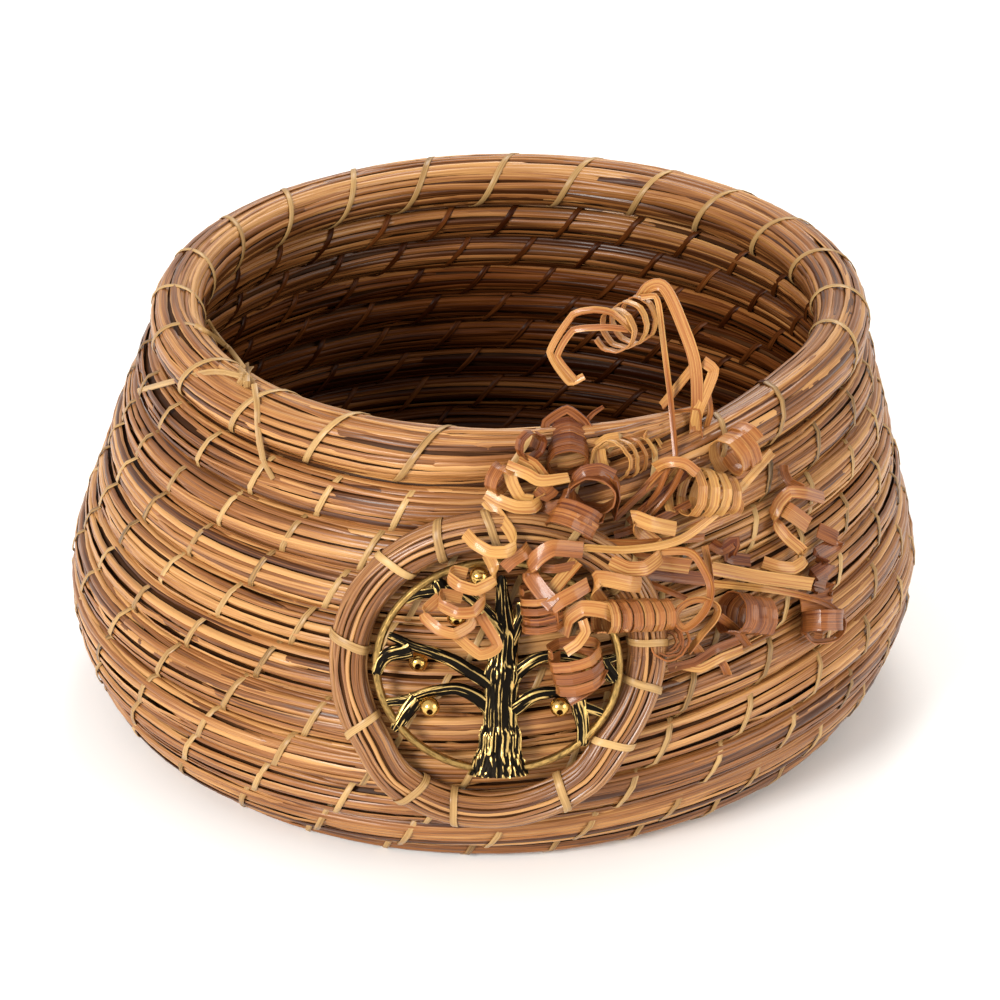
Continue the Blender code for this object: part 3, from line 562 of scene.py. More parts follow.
def blade_route(start, length, around, lift, width, tone, slope=0.0):
    """Way of one blade from a turn on, round the bundle at an angle that wanders."""
    radius_here = radius_at(start)
    round_way = 2 * math.pi * max(radius_here, LEAST_RADIUS)
    last = min(start + length / round_way, LAST_TURN - 0.002)
    step = min(5.5 * MM, 0.14 * radius_here + 0.6 * MM) / round_way
    count = max(int((last - start) / step), 4)
    turns = np.linspace(start, last, count)
    along = np.linspace(0, length, count)
    wander = np.array([noise.noise((a * 16, tone * 40, 3.1)) for a in along])
    rough = np.array([noise.noise((a * 45, tone * 40, 9.7)) for a in along])
    ends = np.minimum(along, length - along) / (9 * MM)
    sink = 1 - np.clip(ends, 0, 1) ** 0.6
    bundle = np.interp(turns, TURNS, RADII)
    grown = np.where(bundle > RIM_FROM, 0.0, 0.22 * MM)
    thin = np.clip(bundle / BUNDLE_RADIUS, 0.2, 1)
    angle = around + wander * MM / np.maximum(bundle, 2 * MM) + rough * 0.07
    angle = angle + slope * (along / length - 0.5)
    off = bundle * fullness(angle, bundle) + grown + lift * thin
    off = off + rough * 0.25 * MM * thin - sink * END_SINK * thin
    places, _, tilt = coil_spot(turns, angle, off)
    places[:, 2] = np.maximum(places[:, 2], FLOOR_LIFT)
    sizes = width * (1 - 0.55 * (1 - np.clip(ends * 2, 0, 1))) * np.sqrt(thin)
    return places, tilt, sizes, tone


def lay_blades(first, last, chains, seed, over_share):
    """Outer and inner blades: chains side by side round the bundle, and some on top."""
    local = np.random.default_rng(seed)
    routes, inner_routes = [], []
    for chain in range(chains):
        base = 2 * math.pi * chain / chains
        turn = first - local.uniform(0, 0.15)
        while turn < last:
            length = local.uniform(120, 260) * MM
            round_way = 2 * math.pi * max(radius_at(turn), LEAST_RADIUS)
            length = min(length, round_way * 0.8)
            around = base + local.normal(0, 0.06)
            inner = max(0.0, -math.cos(around))
            # Painted shade: blades on the inner side get a lower tone
            tone = float(np.clip(local.normal(0.54 - 0.34 * inner, 0.24), 0.03, 0.97))
            width = local.uniform(0.48, 0.8)
            if turn > -0.15:
                route = blade_route(max(turn, 0.004), length, around,
                                    local.uniform(-0.35, 0.15) * MM, width,
                                    tone + len(routes), local.normal(0, 0.12))
                (inner_routes if inner > 0.25 else routes).append(route)
            turn += (length - BLADE_OVERLAP) / round_way
    for number in range(int(over_share * len(routes))):
        turn = local.uniform(max(first, 0.4), last)
        bridge = number % 2 and first >= 8
        around = local.normal(1.06, 0.05) if bridge else local.uniform(-1.6, 1.7)
        lift = local.uniform(0.2, 0.5) if bridge else local.uniform(0.05, 0.3)
        routes.append(blade_route(turn, local.uniform(40, 150) * MM, around, lift * MM,
                                  local.uniform(0.3, 0.62),
                                  float(np.clip(local.normal(0.58, 0.22), 0, 0.97)) + len(routes),
                                  local.normal(0, 0.1 if bridge else 0.3)))
    return routes, inner_routes


BLADE_PARTS = {
    "blades_base": (0.0, 8.3, 20, 11),
    "blades_belly": (8.3, 12.0, 24, 12),
    "blades_wall": (12.0, 15.0, 24, 13),
    "blades_neck": (15.0, ROWS + 1 - 0.12, 24, 14),
    "blades_rim": (ROWS + 1 - 0.12, LAST_TURN - 0.04, 34, 15),
}
for name, (first, last, chains, seed) in BLADE_PARTS.items():
    outer, inner = lay_blades(first, last, chains, seed, 0.7)
    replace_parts(sweep(name, outer, flat_profile, grass), "grass_coil")
    # Painted shade: below the neck the inner blades take the darker browns
    finish = painted_shade_grass if last < 16 else grass
    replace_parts(sweep(name + "_inner", inner, flat_profile, finish), "grass_coil")

# %% [markdown]
# ## Rolled pieces
#
# Threads, strands, strips and the tree's limbs turn every way, where a curve's own
# twist would flip. So a flat grid is made and rolled round the way: each column goes to
# one corner of the section, the seam is merged and the ends are filled. The direction
# that the section faces is given at each point.

# %% Roll helper
def unit(vectors):
    return vectors / np.maximum(np.linalg.norm(vectors, axis=-1, keepdims=True), 1e-12)


class Rolled:
    """One mesh that gathers rolled ways."""

    def __init__(self):
        self.bm = bmesh.new()
        self.way = bpy.data.meshes.new("way")
        self.count = 0

    def add(self, places, faces_to, shape, sizes, tone, closed=False):
        """Roll the shape, in mm across and out, round the places.

        A shape may be a list of corners or give one for each row. A third number of a
        corner is added to the tone there.
        """
        if closed:
            places = np.vstack([places, places[:1]])
            faces_to = np.vstack([faces_to, faces_to[:1]])
            ends = np.vstack([places[-2:-1], places, places[1:2]])
            run = unit(ends[2:] - ends[:-2])
        else:
            run = unit(np.gradient(places, axis=0))
        sizes = np.broadcast_to(np.asarray(sizes, float), len(places))
        across = unit(np.cross(run, faces_to))
        out = unit(np.cross(across, run))
        steps = np.linalg.norm(np.diff(places, axis=0), axis=1)
        along = np.concatenate([[0], np.cumsum(steps)]) / MM
        rows = [shape(k) if callable(shape) else shape for k in range(len(places))]
        sides = len(rows[0])
        bm = bmesh.new()
        grain = bm.verts.layers.float_vector.new("grain")
        made = bmesh.ops.create_grid(bm, x_segments=sides, y_segments=len(places) - 1, size=1.0)
        verts = made["verts"]
        for k, vert in enumerate(verts):
            row, column = divmod(k, sides + 1)
            x, y, *more = rows[row][column % sides]
            spot = places[row] + (across[row] * x + out[row] * y) * (sizes[row] * MM)
            spot[2] = max(spot[2], 0.0)
            vert.co = spot
            vert[grain] = (x, along[row], tone + sum(more))
        bmesh.ops.remove_doubles(bm, verts=verts, dist=0.0005 * MM)
        bm.to_mesh(self.way)
        bm.free()
        self.bm.from_mesh(self.way)
        self.count += 1

    def piece(self, name, material, slot, *nodes, sharp=SHARP):
        """Close and link what was gathered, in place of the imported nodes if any."""
        edges = [edge for edge in self.bm.edges if edge.is_boundary]
        bmesh.ops.holes_fill(self.bm, edges=edges, sides=0)
        bmesh.ops.recalc_face_normals(self.bm, faces=self.bm.faces)
        mesh = bpy.data.meshes.new(name)
        self.bm.to_mesh(mesh)
        self.bm.free()
        bpy.data.meshes.remove(self.way)
        print(name, "ways", self.count, "faces", len(mesh.polygons))
        made = add_piece(name, mesh, material, sharp)
        if nodes:
            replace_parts(made, *nodes)


THREAD_SHAPE = [(0.62, 0.0), (0.4, 0.13), (-0.4, 0.13), (-0.62, 0.0), (-0.4, -0.13), (0.4, -0.13)]

# %% [markdown]
# ## Stitches of the wall
#
# One flat straw thread sews each row to the one below it. It goes up over the row on
# the outside, through the groove, and down inside to the next stitch. There are 29 and
# two thirds stitches to a turn, so each row's stitches start where the row below ended
# its own, and they line up in slanting lines as in the photograph. The thread is cut
# into its outer and inner parts, and the inner parts get low tones and the darker inside browns:
# painted shade.

# %% Stitch the rows
STITCHES = 29.667
OUTER_SHARE = 0.34


def stitch_places(first, last):
    turns = np.linspace(first, last, 6000)
    radius = np.interp(np.interp(turns, TURNS, REACHES), PROFILE_REACH, PROFILE_R)
    density = STITCHES * np.clip(radius / (BASE_RADIUS * 0.98), 0.12, 1.0)
    phase = np.concatenate([[0], np.cumsum(0.5 * (density[1:] + density[:-1]) * np.diff(turns))])
    samples = np.arange(0, phase[-1], 1 / 18)
    part = samples % 1.0
    around = np.where(part < OUTER_SHARE, -0.5 + part / OUTER_SHARE,
                      0.5 + (part - OUTER_SHARE) / (1 - OUTER_SHARE)) * math.pi
    at = np.interp(samples, phase, turns)
    sway = np.array([noise.noise((s * 1.3, 0.5, 2.5)) for s in samples])
    bundle = np.interp(at, TURNS, RADII)
    off = bundle * fullness(around, bundle) + 0.72 * MM + 0.1 * MM * sway
    return coil_spot(at + sway * 0.0012, around, off), np.cos(around) < -0.1


(places, away, _), shaded = stitch_places(0.9, ROWS + 0.98)
changes = [0, *(np.nonzero(np.diff(shaded))[0] + 1), len(places)]
stitches, inner_stitches = Rolled(), Rolled()
for first, last in zip(changes, changes[1:]):
    part = slice(max(first - 1, 0), last)
    # Painted shade: the thread's inner parts get low tones and the darker inside browns
    gather, tones = (inner_stitches, (0.05, 0.35)) if shaded[first] else (stitches, (0.35, 0.8))
    gather.add(places[part], away[part], THREAD_SHAPE, 0.95, first + rng.uniform(*tones))
stitches.piece("wall_stitches", straw, "straw_thread")
inner_stitches.piece("inner_stitches", painted_shade_grass, "straw_thread")

# %% [markdown]
# ## Lashing of the rim
#
# The rim's thicker bundle is bound by the same thread, outside to top to inside, a
# little further along with each wrap. It ends in a knot at the left of the rim, where
# the thread's loose ends lie across the blades.

# %% Lash the rim
RIM_WRAPS = 23.5


def rim_lashing(first, last, lift):
    count = int((last - first) * RIM_WRAPS * 24)
    turns = np.linspace(first, last, count)
    phase = (turns - first) * RIM_WRAPS
    sway = np.array([noise.noise((p * 1.1, 7.5, 1.5)) for p in phase])
    around = math.pi + 2 * math.pi * phase
    off = np.interp(turns, TURNS, RADII) + lift
    return coil_spot(turns + sway * 0.0015, around, off)


LASHING_LIFT = 0.55 * MM
places, away, _ = rim_lashing(ROWS + 1.005, ROWS + 1 + LEVEL + 0.1, LASHING_LIFT)
lashing = Rolled()
lashing.add(places, away, THREAD_SHAPE, 1.0, 0.7)
lashing.piece("rim_lashing", straw, "straw_thread", "rim_thread")

# %% [markdown]
# ## Ring round the pendant
#
# The ring is a small coil of its own: some two dozen thin strands, bound every few
# centimetres with a flat thread. It bends with the wall. The strands are closed loops
# laid round a flattened round section, each with a slight wander, over a dark core that paints the
# shade between them.

# %% Places on the wall
def reach_at(height):
    return float(np.interp(height, PROFILE_Z[1:], PROFILE_REACH[1:]))


def wall_spot(azimuth, reach, lift):
    """Points over the wall's middle line, with the directions along, up and out."""
    azimuth, reach, lift = np.broadcast_arrays(azimuth, reach, lift)
    radius, height = on_profile(np.minimum(reach, RIM_REACH))
    up_r, up_z = profile_way(reach)
    beyond = np.maximum(reach - RIM_REACH, 0)
    radius = radius + up_r * beyond + up_z * lift
    height = height + up_z * beyond - up_r * lift
    x = radius * np.cos(azimuth) + LEAN * (height - FLOOR_ROW_HEIGHT)
    along = np.stack([-np.sin(azimuth), np.cos(azimuth), 0 * azimuth], axis=-1)
    up = np.stack([up_r * np.cos(azimuth), up_r * np.sin(azimuth), up_z], axis=-1)
    return np.stack([x, radius * np.sin(azimuth), height], axis=-1), along, up, np.cross(along, up)


RING_RADIUS, RING_WIDE, RING_THICK = 28.4 * MM, 3.6 * MM, 2.6 * MM
RING_UP = 0.905 * RING_RADIUS
RING_LIFT = BUNDLE_RADIUS + 1.2 * MM + RING_THICK
RING_AZIMUTH = math.radians(-90.4)
RING_REACH = reach_at(47.1 * MM)


def ring_spot(angle, wide, thick):
    """Point of the ring's section at an angle round the ring, with radial and out."""
    reach = RING_REACH + RING_UP * np.sin(angle)
    local = on_profile(reach)[0] + RING_LIFT * profile_way(reach)[1]
    azimuth = RING_AZIMUTH + RING_RADIUS * np.cos(angle) / local
    place, along, up, out = wall_spot(azimuth, reach, RING_LIFT)
    radial = unit(along * np.cos(angle)[:, None] / RING_UP
                  + up * np.sin(angle)[:, None] / RING_RADIUS)
    return place + radial * wide[..., None] + out * thick[..., None], radial, out


ring_middle = wall_spot(RING_AZIMUTH, RING_REACH, RING_LIFT)[0]
print("middle of the ring, mm", np.round(ring_middle / MM, 1))


# %% Strands of the ring
STRAND_SHAPE = [(0.4, 0.0), (0.27, 0.25), (0.0, 0.33), (-0.27, 0.25), (-0.4, 0.0),
                (-0.27, -0.22), (0.27, -0.22)]
RING_STRANDS = 25
SHOULDER = 0.82


def round_section(around):
    """Flattened round with fuller shoulders: places across and out."""
    return (np.sign(np.cos(around)) * np.abs(np.cos(around)) ** SHOULDER,
            np.sign(np.sin(around)) * np.abs(np.sin(around)) ** SHOULDER)


def ring_way(around, off, seed, steps=120):
    angle = np.linspace(0, 2 * math.pi, steps, endpoint=False)
    sway = np.array([noise.noise((2.2 * math.cos(a), 2.2 * math.sin(a), seed)) for a in angle])
    dip = np.array([noise.noise((5 * math.cos(a), 5 * math.sin(a), seed + 4.3)) for a in angle])
    c, s = round_section(around + sway * 0.16)
    place, radial, out = ring_spot(angle, c * (RING_WIDE + off + dip * 0.25 * MM),
                                   s * (RING_THICK + off + dip * 0.25 * MM))
    return place, unit(radial * (c / RING_WIDE)[:, None] + out * (s / RING_THICK)[:, None])


ring = Rolled()
for strand in range(RING_STRANDS):
    place, face_to = ring_way(2 * math.pi * strand / RING_STRANDS, -0.25 * MM, strand * 3.7)
    tone = float(np.clip(rng.normal(0.55, 0.22), 0.05, 0.95))
    ring.add(place, face_to, STRAND_SHAPE, rng.uniform(0.85, 1.15), tone + strand, closed=True)
ring.piece("ring_strands", ring_grass, "ring_grass", "medallion_ring")

CORE_WIDE, CORE_THICK, CORE_STEPS = 3.2, 2.2, 96
core = Rolled()
angle = np.linspace(0, 2 * math.pi, CORE_STEPS, endpoint=False)
place, radial, out = ring_spot(angle, 0 * angle, 0 * angle)
core.add(place, out, circle(12, CORE_WIDE, CORE_THICK), 1.0, 0.5, closed=True)
core.piece("ring_inside", bundle_dark, "ring_grass")

# %% Bind the ring
# Angles round the ring, from its right side, of the bindings that the photograph shows
BINDING_ANGLES = (6, 38, 66, 95, 115, 135, 174, 209, 239, 257, 299, 323, 348)
BAND_SHAPE = [(0.8, 0.0), (0.5, 0.14), (0.0, 0.1), (-0.5, 0.14), (-0.8, 0.0), (0.0, -0.12)]
BAND_LIFT = 0.32 * MM

binding = Rolled()
for number, degrees in enumerate(BINDING_ANGLES):
    around = np.linspace(0, 2 * math.pi, 28, endpoint=False)
    slant = math.radians(2.2) * (1 if number % 2 else -1)
    angle = math.radians(degrees) + slant * np.cos(around)
    c, s = round_section(around)
    place, radial, out = ring_spot(angle, c * (RING_WIDE + BAND_LIFT), s * (RING_THICK + BAND_LIFT))
    face_to = unit(radial * (c / RING_WIDE)[:, None] + out * (s / RING_THICK)[:, None])
    binding.add(place, face_to, BAND_SHAPE, rng.uniform(0.85, 1.1),
                0.55 + 0.3 * rng.random() + number, closed=True)
binding.piece("ring_binding", straw, "straw_thread", "ring_thread")

# %% [markdown]
# ## Sight lines
#
# The curled strips are a tangle that no formula gives. Their corners are read off the
# photograph as picture places, each with its clearance above the grass in millimetres.
# A sight line through the place is followed from the eye until that clearance is met,
# so each strip lies on the basket from every side and not only in the picture. Strips
# that rise above the rim name the upright plane that they stand in instead.

# %% From the picture to the wall
to_right, to_up, to_back, eye_place = (np.array(v) for v in (eye_right, eye_up, eye_back, eye))


def clearance(points):
    """Distance of points above the grass of the wall or the rim."""
    height = points[:, 2]
    reach = np.interp(height, PROFILE_Z[1:], PROFILE_REACH[1:])
    out = np.hypot(points[:, 0] - LEAN * (height - FLOOR_ROW_HEIGHT), points[:, 1])
    wall = (out - on_profile(reach)[0]) * profile_way(reach)[1] - BUNDLE_RADIUS
    rim = np.hypot(out - NECK_RADIUS, height - RIM_HEIGHT) - RIM_RADIUS
    return np.where(height > RIM_HEIGHT, rim, np.minimum(wall, rim))


def spot(right, down, third):
    """World point seen at a place of the picture.

    third is the clearance in mm, or where it is negative the y of the plane in mm.
    """
    way = (to_right * (right - IMAGE / 2 - SHIFT_RIGHT) / FOCUS
           + to_up * (IMAGE / 2 + SHIFT_UP - down) / FOCUS - to_back)
    way /= np.linalg.norm(way)
    if third < 0:
        return eye_place + way * ((third * MM - eye[1]) / way[1])
    far = np.arange(0.55, 0.8, 0.0002)
    points = eye_place + far[:, None] * way
    clear = clearance(points)
    met = np.nonzero(clear <= third * MM)[0]
    return points[met[0]] if len(met) else points[int(np.argmin(clear))]


def spots(rows):
    return np.array([spot(*row) for row in rows])


def follow(points, step=1.2 * MM, soft=True):
    """Denser points along a route, rounded or with straight runs between its corners."""
    points = np.asarray(points, float)
    made = []
    ends = np.vstack([2 * points[0] - points[1], points, 2 * points[-1] - points[-2]])
    for k in range(1, len(ends) - 2):
        a, b, c, d = ends[k - 1:k + 3]
        count = max(int(np.linalg.norm(c - b) / step), 2)
        t = np.linspace(0, 1, count, endpoint=False)[:, None]
        if soft:
            made.append(0.5 * (2 * b + (c - a) * t + (2 * a - 5 * b + 4 * c - d) * t ** 2
                               + (3 * b - a - 3 * c + d) * t ** 3))
        else:
            made.append(b + (c - b) * t)
    made.append(points[-1:])
    return np.vstack(made)


print("a place on the front of the wall, mm", np.round(spot(484, 631, 0) / MM, 1))

# %% [markdown]
# ## The cast tree
#
# The pendant is a flat casting: a trunk, eleven limbs and twigs, and a thin hoop. Each
# limb is rolled round its way with many corners, and a stretched noise raises bark
# ridges along it. The height of a ridge is stored with the mesh, and the finish uses it
# twice: bright metal on the ridges, black in the grooves between them.

# %% Finish of the old gold
def metal_finish(name, dark, bright, rough, edge, relief):
    """Metal that is bright on high places and dark in low ones, from the grain's tone."""
    material, tree, shader = new_material(name)
    grain, height = grain_parts(tree)
    fine = grain_noise(tree, grain, (3.0, 0.9, 1.0), 3.0)
    high = maths(tree, "ADD", height, maths(tree, "MULTIPLY_ADD", fine, 0.5, -0.25))
    worn = ramp(tree, high, [(edge - 0.09, dark), (edge + 0.09, bright)])
    tree.links.new(worn, shader.inputs["Base Color"])
    matt = ramp(tree, high, [(edge - 0.1, (0.5, 0.5, 0.5)), (edge + 0.1, (rough, rough, rough))])
    tree.links.new(matt, shader.inputs["Roughness"])
    shader.inputs["Metallic"].default_value = 1.0
    add_bump(tree, shader, fine, relief, 0.15 * MM)
    return material


old_gold = metal_finish("antique_gold", (0.010, 0.008, 0.006), (0.66, 0.44, 0.15), 0.3, 0.66, 0.6)
hoop_gold = metal_finish("hoop_gold", (0.05, 0.028, 0.010), (0.45, 0.28, 0.09), 0.36, 0.55, 0.4)
bright_gold = metal_finish("bead_gold", (0.28, 0.14, 0.03), (0.70, 0.43, 0.12), 0.22, 0.35, 0.25)
print("metals", [made.name for made in (old_gold, hoop_gold, bright_gold)])

# %% Grow the limbs
HOOP_INSET = 5.9 * MM
HOOP_RADIUS, HOOP_UP = RING_RADIUS - HOOP_INSET, RING_UP - HOOP_INSET
HOOP_WIRE = 0.8 * MM
TRUNK_RADIUS, BRANCH_RADIUS = 3.6 * MM, 1.9 * MM
TREE_LIFT = BUNDLE_RADIUS + 3.0 * MM
TREE_RELIEF = 0.6
LIMB_SWAY = 0.45 * MM
BARK_STRETCH = 0.032
LIMBS = {
    "trunk": ((0.01, -1.04), (0.01, -0.90), (0.02, -0.66), (0.02, -0.40), (0.03, -0.17),
              (0.05, 0.06), (0.07, 0.30), (0.05, 0.57), (0.03, 0.87)),
    "left_low": ((-0.03, -0.46), (-0.17, -0.29), (-0.35, -0.21), (-0.55, -0.25), (-0.77, -0.33),
                 (-0.96, -0.37)),
    "left_mid": ((-0.02, -0.22), (-0.23, -0.04), (-0.43, 0.08), (-0.64, 0.17), (-0.90, 0.29)),
    "left_high": ((0.03, 0.32), (-0.12, 0.55), (-0.29, 0.70), (-0.47, 0.72), (-0.65, 0.69),
                  (-0.78, 0.62)),
    "right_low": ((0.08, -0.44), (0.25, -0.31), (0.40, -0.25), (0.57, -0.26), (0.69, -0.36),
                  (0.89, -0.46)),
    "right_mid": ((0.07, -0.15), (0.22, 0.01), (0.37, 0.09), (0.57, 0.10), (0.81, 0.06),
                  (1.00, 0.11)),
    "right_high": ((0.08, 0.18), (0.16, 0.39), (0.20, 0.50), (0.19, 0.62)),
    "left_twig": ((-0.67, -0.30), (-0.78, -0.48), (-0.86, -0.61)),
    "left_tip": ((-0.72, 0.17), (-0.93, 0.09), (-1.01, -0.08)),
    "high_twig": ((-0.46, 0.71), (-0.50, 0.83)),
    "right_twig": ((0.66, -0.33), (0.70, -0.56), (0.70, -0.76)),
    "right_tip": ((0.86, 0.06), (0.97, -0.15)),
}
# Thickness along the trunk and along a limb, as shares of the radii above
TRUNK_SHARES = (1.55, 1.12, 0.86, 0.81, 0.88, 0.67, 0.52, 0.38, 0.22)
LIMB_SHARES = (0.85, 0.7, 0.6, 0.55, 0.5, 0.42)

tree_place, tree_right, tree_up, tree_out = wall_spot(RING_AZIMUTH, RING_REACH, TREE_LIFT)


def in_tree(points):
    """World places of flat points of the casting, given in metres right, up and out."""
    points = np.asarray(points, float)
    over = points[:, 2:] * tree_out
    return tree_place + points[:, :1] * tree_right + points[:, 1:2] * tree_up + over


def add_limb(gather, number, shares, radii, corners, ridges):
    flat = follow([(x * HOOP_RADIUS, y * HOOP_UP, 0) for x, y in shares], 0.7 * MM)
    given = np.linspace(0, 1, len(radii))
    sizes = np.interp(np.linspace(0, 1, len(flat)), given, radii) / MM
    flat[:, 2] = 0.12 * MM * (number % 3)
    steps = range(len(flat))
    if number:
        flat[1:, 1] += [LIMB_SWAY * noise.noise((k * 0.16, number * 5.3, 2.9)) for k in steps[1:]]
    knobs = np.array([1 + 0.13 * noise.noise((k * 0.22, number * 9.1, 0.7)) for k in steps])
    sizes = sizes * knobs
    sizes[-1] *= 0.72

    def section(row):
        made = []
        for corner in range(corners):
            a = 2 * math.pi * corner / corners
            bark = noise.noise((ridges * math.cos(a) * sizes[row] * 0.5,
                                ridges * math.sin(a) * sizes[row] * 0.3,
                                row * BARK_STRETCH + number * 7.3))
            high = 1 - min(1.0, abs(bark) * 3.1)
            grown = sizes[row] * (0.93 + 0.16 * high)
            made.append((grown * math.cos(a), grown * math.sin(a) * TREE_RELIEF, high))
        return made

    facing = np.broadcast_to(tree_out, (len(flat), 3))
    gather.add(in_tree(flat), facing, section, 1.0, 0.0)


tree = Rolled()
for number, (name, shares) in enumerate(LIMBS.items()):
    if name == "trunk":
        add_limb(tree, number, shares, [TRUNK_RADIUS * s for s in TRUNK_SHARES], 84, 3.7)
    else:
        radii = [BRANCH_RADIUS * s for s in LIMB_SHARES[:len(shares)]]
        add_limb(tree, number, shares, radii, 40, 4.4)
turn = np.linspace(0, 2 * math.pi, 90, endpoint=False)
hoop = in_tree(np.stack([HOOP_RADIUS * np.cos(turn), HOOP_UP * np.sin(turn), 0 * turn], axis=1))
wire = circle(9, HOOP_WIRE / MM, HOOP_WIRE / MM)
tree.piece("cast_tree", old_gold, "antique_gold", "tree_pendant", sharp=60)
band = Rolled()
band.add(hoop, np.broadcast_to(tree_out, (len(hoop), 3)), wire, 1.0, 0.6, closed=True)
band.piece("tree_hoop", hoop_gold, "antique_gold", "tree_pendant")

# %% [markdown]
# ## Beads
#
# Six small gold beads hang in the branches. Each is turned: half the section of a bored
# ball is spun once round its axis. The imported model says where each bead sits.

# %% Turn the beads
BEAD_RADIUS, BORE_RADIUS = 1.85 * MM, 0.6 * MM
BEAD_TILT = math.radians(14)


def make_bead(number):
    bm = bmesh.new()
    edge = math.asin(BORE_RADIUS / BEAD_RADIUS)
    ball = [(BEAD_RADIUS * math.sin(a), BEAD_RADIUS * math.cos(a))
            for a in np.linspace(edge, math.pi - edge, 22)]
    bore = [(BORE_RADIUS, z) for z in np.linspace(-0.9, 0.9, 6) * BEAD_RADIUS]
    verts = [bm.verts.new((x, 0, z)) for x, z in ball + bore]
    edges = [bm.edges.new(pair) for pair in zip(verts, verts[1:] + verts[:1])]
    bmesh.ops.spin(bm, geom=verts + edges, axis=(0, 0, 1), cent=(0, 0, 0), steps=32,
                   angle=2 * math.pi, use_merge=True)
    bmesh.ops.recalc_face_normals(bm, faces=bm.faces)
    low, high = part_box("bead_" + str(number))
    turned = Matrix((tree_right, tree_up, tree_out)).transposed().to_4x4()
    tilt = Matrix.Rotation(BEAD_TILT + 0.05 * number, 4, "X")
    middle = (low + high) / 2
    bmesh.ops.transform(bm, matrix=Matrix.Translation(middle) @ turned @ tilt, verts=bm.verts)
    grain = bm.verts.layers.float_vector.new("grain")
    for vert in bm.verts:
        spread = vert.co - middle
        vert[grain] = (spread.x / MM, spread.z / MM, 0.75 if spread.length > 1.7 * MM else 0.1)
    mesh = bpy.data.meshes.new("gold_bead_" + str(number))
    bm.to_mesh(mesh)
    bm.free()
    bead = add_piece("gold_bead_" + str(number), mesh, bright_gold, sharp=50)
    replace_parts(bead, "bead_" + str(number))
    print(bead.name, "faces", len(mesh.polygons))


for number in range(1, 7):
    make_bead(number)

# %% [markdown]
# ## Start of the coil
#
# In the middle of the base the bundle begins as a flat knob of blades, turned round on
# themselves until the first row lies against them. Strands in four layers follow the
# first row's inner side, each a share of the way from the middle.

# %% Wind the start
START_LAYERS = (0.6 * MM, 2.2 * MM, 3.8 * MM, 5.4 * MM)
START_RINGS = 8
turns = np.linspace(0, 0.985, 80)
outline = np.interp(turns, TURNS, REACHES) - BUNDLE_RADIUS - START_GAP
wound = COIL_START + 2 * math.pi * turns
start = Rolled()
for layer, height in enumerate(START_LAYERS):
    for number in range(START_RINGS):
        reach = outline * (number + 0.5) / START_RINGS
        lower = 0.5 * MM * (number == START_RINGS - 1) * (layer == 3)
        places = np.stack([reach * np.cos(wound), reach * np.sin(wound),
                           0 * reach + height - lower], axis=1)
        rise = 0.4 + 2.0 * (layer == 3) + 0 * wound
        faces = np.stack([np.cos(wound), np.sin(wound), rise], axis=1)
        start.add(places, unit(faces), STRAND_SHAPE, outline / START_RINGS / (0.62 * MM),
                  rng.uniform(0.1, 0.7) + number)
start.piece("coil_start", grass, "grass", "coil_start_plug")

# %% [markdown]
# ## Knot and loose ends of the thread
#
# At the left of the rim the thread is tied off. Its ends lie over the blades: one runs
# back to a fork, one out to the left, and a long one hangs down the wall.

# %% Tie the knot
def lay_thread(gather, rows, width, tone):
    route = follow(spots(rows), 0.8 * MM)
    facing = np.broadcast_to(to_back, route.shape)
    gather.add(route, facing, THREAD_SHAPE, width, tone)


knot = Rolled()
KNOT_WRAPS = (((238, 368), (253, 383)), ((251, 367), (239, 384)), ((246, 364), (247, 387)),
              ((237, 376), (254, 375)))
for k, (first, last) in enumerate(KNOT_WRAPS):
    top = ((first[0] + last[0]) / 2, (first[1] + last[1]) / 2, 1.8)
    lay_thread(knot, [(*first, 0.3), top, (*last, 0.3)], 1.05, 0.6 + k)
knot.piece("tie_knot_wraps", straw, "straw_thread", "tie_knot")

tails = Rolled()
lay_thread(tails, [(254, 384, 0.8), (257, 405, 0.7), (258, 430, 0.5), (263, 460, 0.6)], 0.95, 0.7)
lay_thread(tails, [(258, 440, 0.5), (264, 462, 0.7), (273, 479, 0.9)], 0.8, 1.65)
tails.piece("tie_tails_down", straw, "straw_thread", "tie_tail")

ends = Rolled()
lay_thread(ends, [(244, 368, 1.2), (232, 352, 0.8), (225, 345, 0.6), (207, 332, 0.8),
                  (195, 325, 1.0)], 0.8, 0.65)
lay_thread(ends, [(228, 348, 0.7), (216, 333, 1.0), (208, 320, 1.2)], 0.6, 1.6)
lay_thread(ends, [(240, 376, 1.0), (222, 372, 0.7), (203, 373, 0.5), (170, 382, 0.5),
                  (138, 391, 0.6)], 0.9, 2.75)
ends.piece("tie_ends", straw, "straw_thread")

# %% [markdown]
# ## Curled strips
#
# The strips are flat and glossy, ribbed lengthwise, and cut square. They were rolled
# while soft, so they dried with small kinks: a turn has eight facets with rounded
# faces. One helper winds coils about an axis, another lays strips through corners.
# Each entry gives the strip's width in mm and its tone, from red brown at 0 to pale
# straw at 1. Groups that take no packed strip's place fill the tangle under the rest.

# %% Coils and strips
strip_glaze = blade_finish("curled_strip", (0.085, 0.017, 0.004), (0.29, 0.098, 0.024),
                           (0.50, 0.27, 0.08), 0.25, 0.9, 0.2)
FACETS = 8
STRIP_SHARP = 24


def ribbed(width):
    """Section of a strip: thin, a little hollow, with lengthwise ribs."""
    half = width / 2
    count = max(int(width / 0.45), 4)
    xs = np.linspace(half, -half, count + 1)
    dish = 0.16 * (xs / half) ** 2
    top = [(x, 0.13 + d + (0.05 if k % 2 else -0.02)) for k, (x, d) in enumerate(zip(xs, dish))]
    below = [(x, d - 0.13) for x, d in zip(xs[::-1], dish[::-1])]
    return top + below


